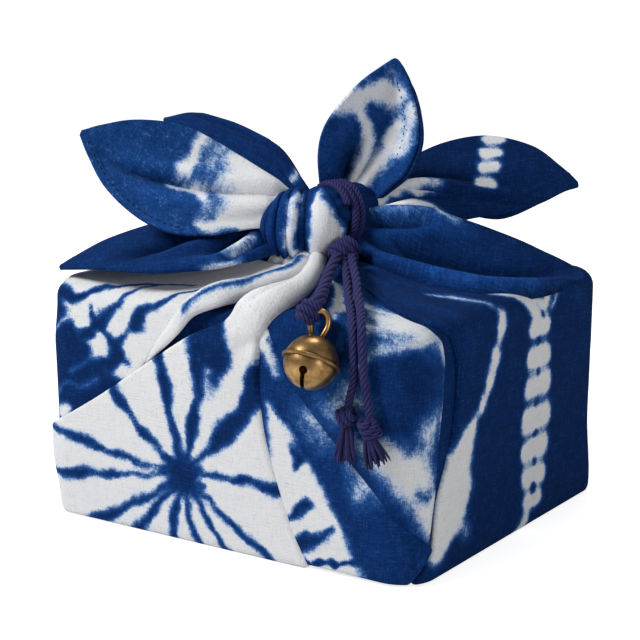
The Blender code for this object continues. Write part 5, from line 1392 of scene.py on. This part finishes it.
def makeKnot():
    # Pleated ball: pleats are half ellipses side by side, drawn together over and under it.
    columns, rows = knotBand["size"]
    turn, even = turnAround(rows).T, np.linspace(-1, 1, columns)[None, :]
    crowd, behind, pleatBehind = (knotBand[key] for key in ("crowd", "behind", "pleatBehind"))
    place = np.sin(even * math.pi / 2) * crowd + even * (1 - crowd)
    slant = place + knotBand["slant"] * np.sin(turn) * (1 - place ** 2)
    raised = np.zeros(slant.shape)
    for centre, half, height in pleats:
        raised = np.maximum(raised, height * np.clip(1 - ((slant - centre) / half) ** 2, 0, 1) ** 0.5)
    front = 0.5 + 0.5 * np.cos(turn)
    power, change = knotBand["drawing"]
    draw = behind + (1 - behind) * front ** (power - change * np.sin(turn))
    along = place * np.where(place < 0, knotBand["left"], knotBand["right"]) * draw
    along = along + knotBand["skew"] * np.sin(turn) * (1 - place ** 2)
    bulge = np.where(place < 0, *knotBand["bulge"])
    ball = (knotBand["radius"] - knotBand["inset"]) * np.sqrt(1 - np.abs(place) ** bulge)
    small = foldsOf(along, turn * knotBand["radius"] + 0 * along, creases)
    radius = ball + knotBand["pleatHeight"] * raised * (pleatBehind + (1 - pleatBehind) * front) + small
    flat = 1 - knotBand["flatter"] * np.sin(turn) ** 2
    points = (knotCentre + across * along[..., None] + outward * (radius * np.cos(turn))[..., None]
              + upward * (radius * flat * np.sin(turn))[..., None])
    height = (np.mod(turn + math.pi, tau) - math.pi) * knotBand["radius"]
    uv = flatMap(np.concatenate([along, along[:1]]).T, np.linspace(0, knotBand["girth"], rows + 1)[None, :])
    # Painted shade between the pleats and painted highlight on them.
    marks = {"ink": inkOf(along, height, knotBand).T, "shadingAndWear": (raised / 0.7 - 1).clip(-1, 0.6).T}
    return clothPiece("knotPleats", np.swapaxes(points, 0, 1), uv, marks, loopColumns=True, merge=True)


def makeNeck():
    # Cloth drawn together inside the cord's turns, with a dozen fine pleats.
    rows = smoothRows(neckBand["rows"], neckBand["steps"])
    turn = turnAround(neckBand["around"])
    radius = rows[:, 1:] * (1 + sum(height * np.cos(count * turn) for count, height in neckBand["pleats"]))
    points = (wrapCentre + wrapAxis * (rows[:, :1] + 0 * turn)[..., None]
              - wrapSide * (radius * np.cos(turn))[..., None] + upward * (radius * np.sin(turn))[..., None])
    uv = flatMap(rows[:, :1], np.linspace(0, neckBand["girth"], neckBand["around"] + 1)[None, :])
    return clothPiece("bowNeck", points, uv, {"ink": 1.0}, loopColumns=True, merge=True)


knotPiece, neckPiece = makeKnot(), makeNeck()
bow = {name: makeLeaf(name, leaf) for name, leaf in leaves.items()}
seconds = {name: makeSecondLayer(name + "Second", leaf) for name, leaf in leaves.items() if "second" in leaf}
stitches = {name: makeStitches(name + "Stitches", leaf) for name, leaf in leaves.items() if "hem" in leaf}
print("bow made")


def declareCloth(piece):
    # Reads the piece's own map, which is the cloth laid flat, in millimetres, and the loops round each of
    # its faces.
    mesh = piece.data
    places = np.zeros(len(mesh.loops) * 2)
    mesh.uv_layers["cloth"].data.foreach_get("uv", places)
    places = places.reshape(-1, 2) * mm
    following = np.arange(1, len(places) + 1)
    starts, totals = (np.zeros(len(mesh.polygons), dtype=np.int32) for i in range(2))
    mesh.polygons.foreach_get("loop_start", starts)
    mesh.polygons.foreach_get("loop_total", totals)
    following[starts + totals - 1] = starts


declareCloth(innerLayer)
for name, piece in flaps.items():
    declareCloth(piece)
for name, piece in bow.items():
    extras = [seconds.get(name), stitches.get(name), neckPiece if name == "rightLowLeaf" else None]
    declareCloth(piece)


studio = {
    "floor": (0.80, 0.80, 0.81), "glow": 0.80, "world": 0.20, "half": 3000, "front": -2500, "bend": 1500,
    "bendFrom": 0.1, "bendSteps": 12, "wall": 3600, "gap": 0.02, "roughness": 0.7, "aim": (0, 0, 0.07),
    "lights": [("keyLight", (-0.62, -0.80, 0.95), 0.40, 13.8), ("fillLight", (1.15, -0.40, 0.40), 0.5, 3.4),
               ("topLight", (-0.2, 0.45, 1.1), 0.5, 2.2)],
}


def makeStudio():
    # Floor that runs back and curves up into a wall, soft area lights and a pale world.
    half, bend = studio["half"], studio["bend"]
    turn = np.linspace(studio["bendFrom"], math.pi / 2, studio["bendSteps"])
    depth = np.concatenate([np.linspace(studio["front"], bend, 3), bend + bend * np.sin(turn), [half]])
    rise = np.concatenate([np.zeros(3), bend * (1 - np.cos(turn)), [studio["wall"]]])
    points = (across * np.linspace(-half, half, 3)[None, :, None] - outward * depth[:, None, None]
              + upward * (rise[:, None, None] - studio["gap"]))
    paper, tree = newMaterial("paleFloor")
    seen = Signal(tree, addNode(tree, "ShaderNodeLightPath").outputs["Is Camera Ray"])
    dress(paper, {"Base Color": (*studio["floor"], 1), "Roughness": studio["roughness"],
                  "Emission Color": (1, 1, 1, 1), "Emission Strength": seen * studio["glow"]})
    gridPiece("studioFloor", points, paper, body=None)
    for name, place, size, power in studio["lights"]:
        lamp = bpy.data.lights.new(name, "AREA")
        lamp.shape, lamp.size, lamp.energy = "DISK", size, power
        light = bpy.data.objects.new(name, lamp)
        light.location = Vector(place)
        light.rotation_euler = (Vector(studio["aim"]) - Vector(place)).to_track_quat("-Z", "Y").to_euler()
        bpy.context.scene.collection.objects.link(light)
    world = bpy.data.worlds.new("studioWorld")
    world.use_nodes = True
    background = world.node_tree.nodes["Background"].inputs
    background["Color"].default_value = (1, 1, 1, 1)
    background["Strength"].default_value = studio["world"]
    bpy.context.scene.world = world
    bpy.context.scene.view_settings.view_transform = "Standard"


makeStudio()
print("studio made")
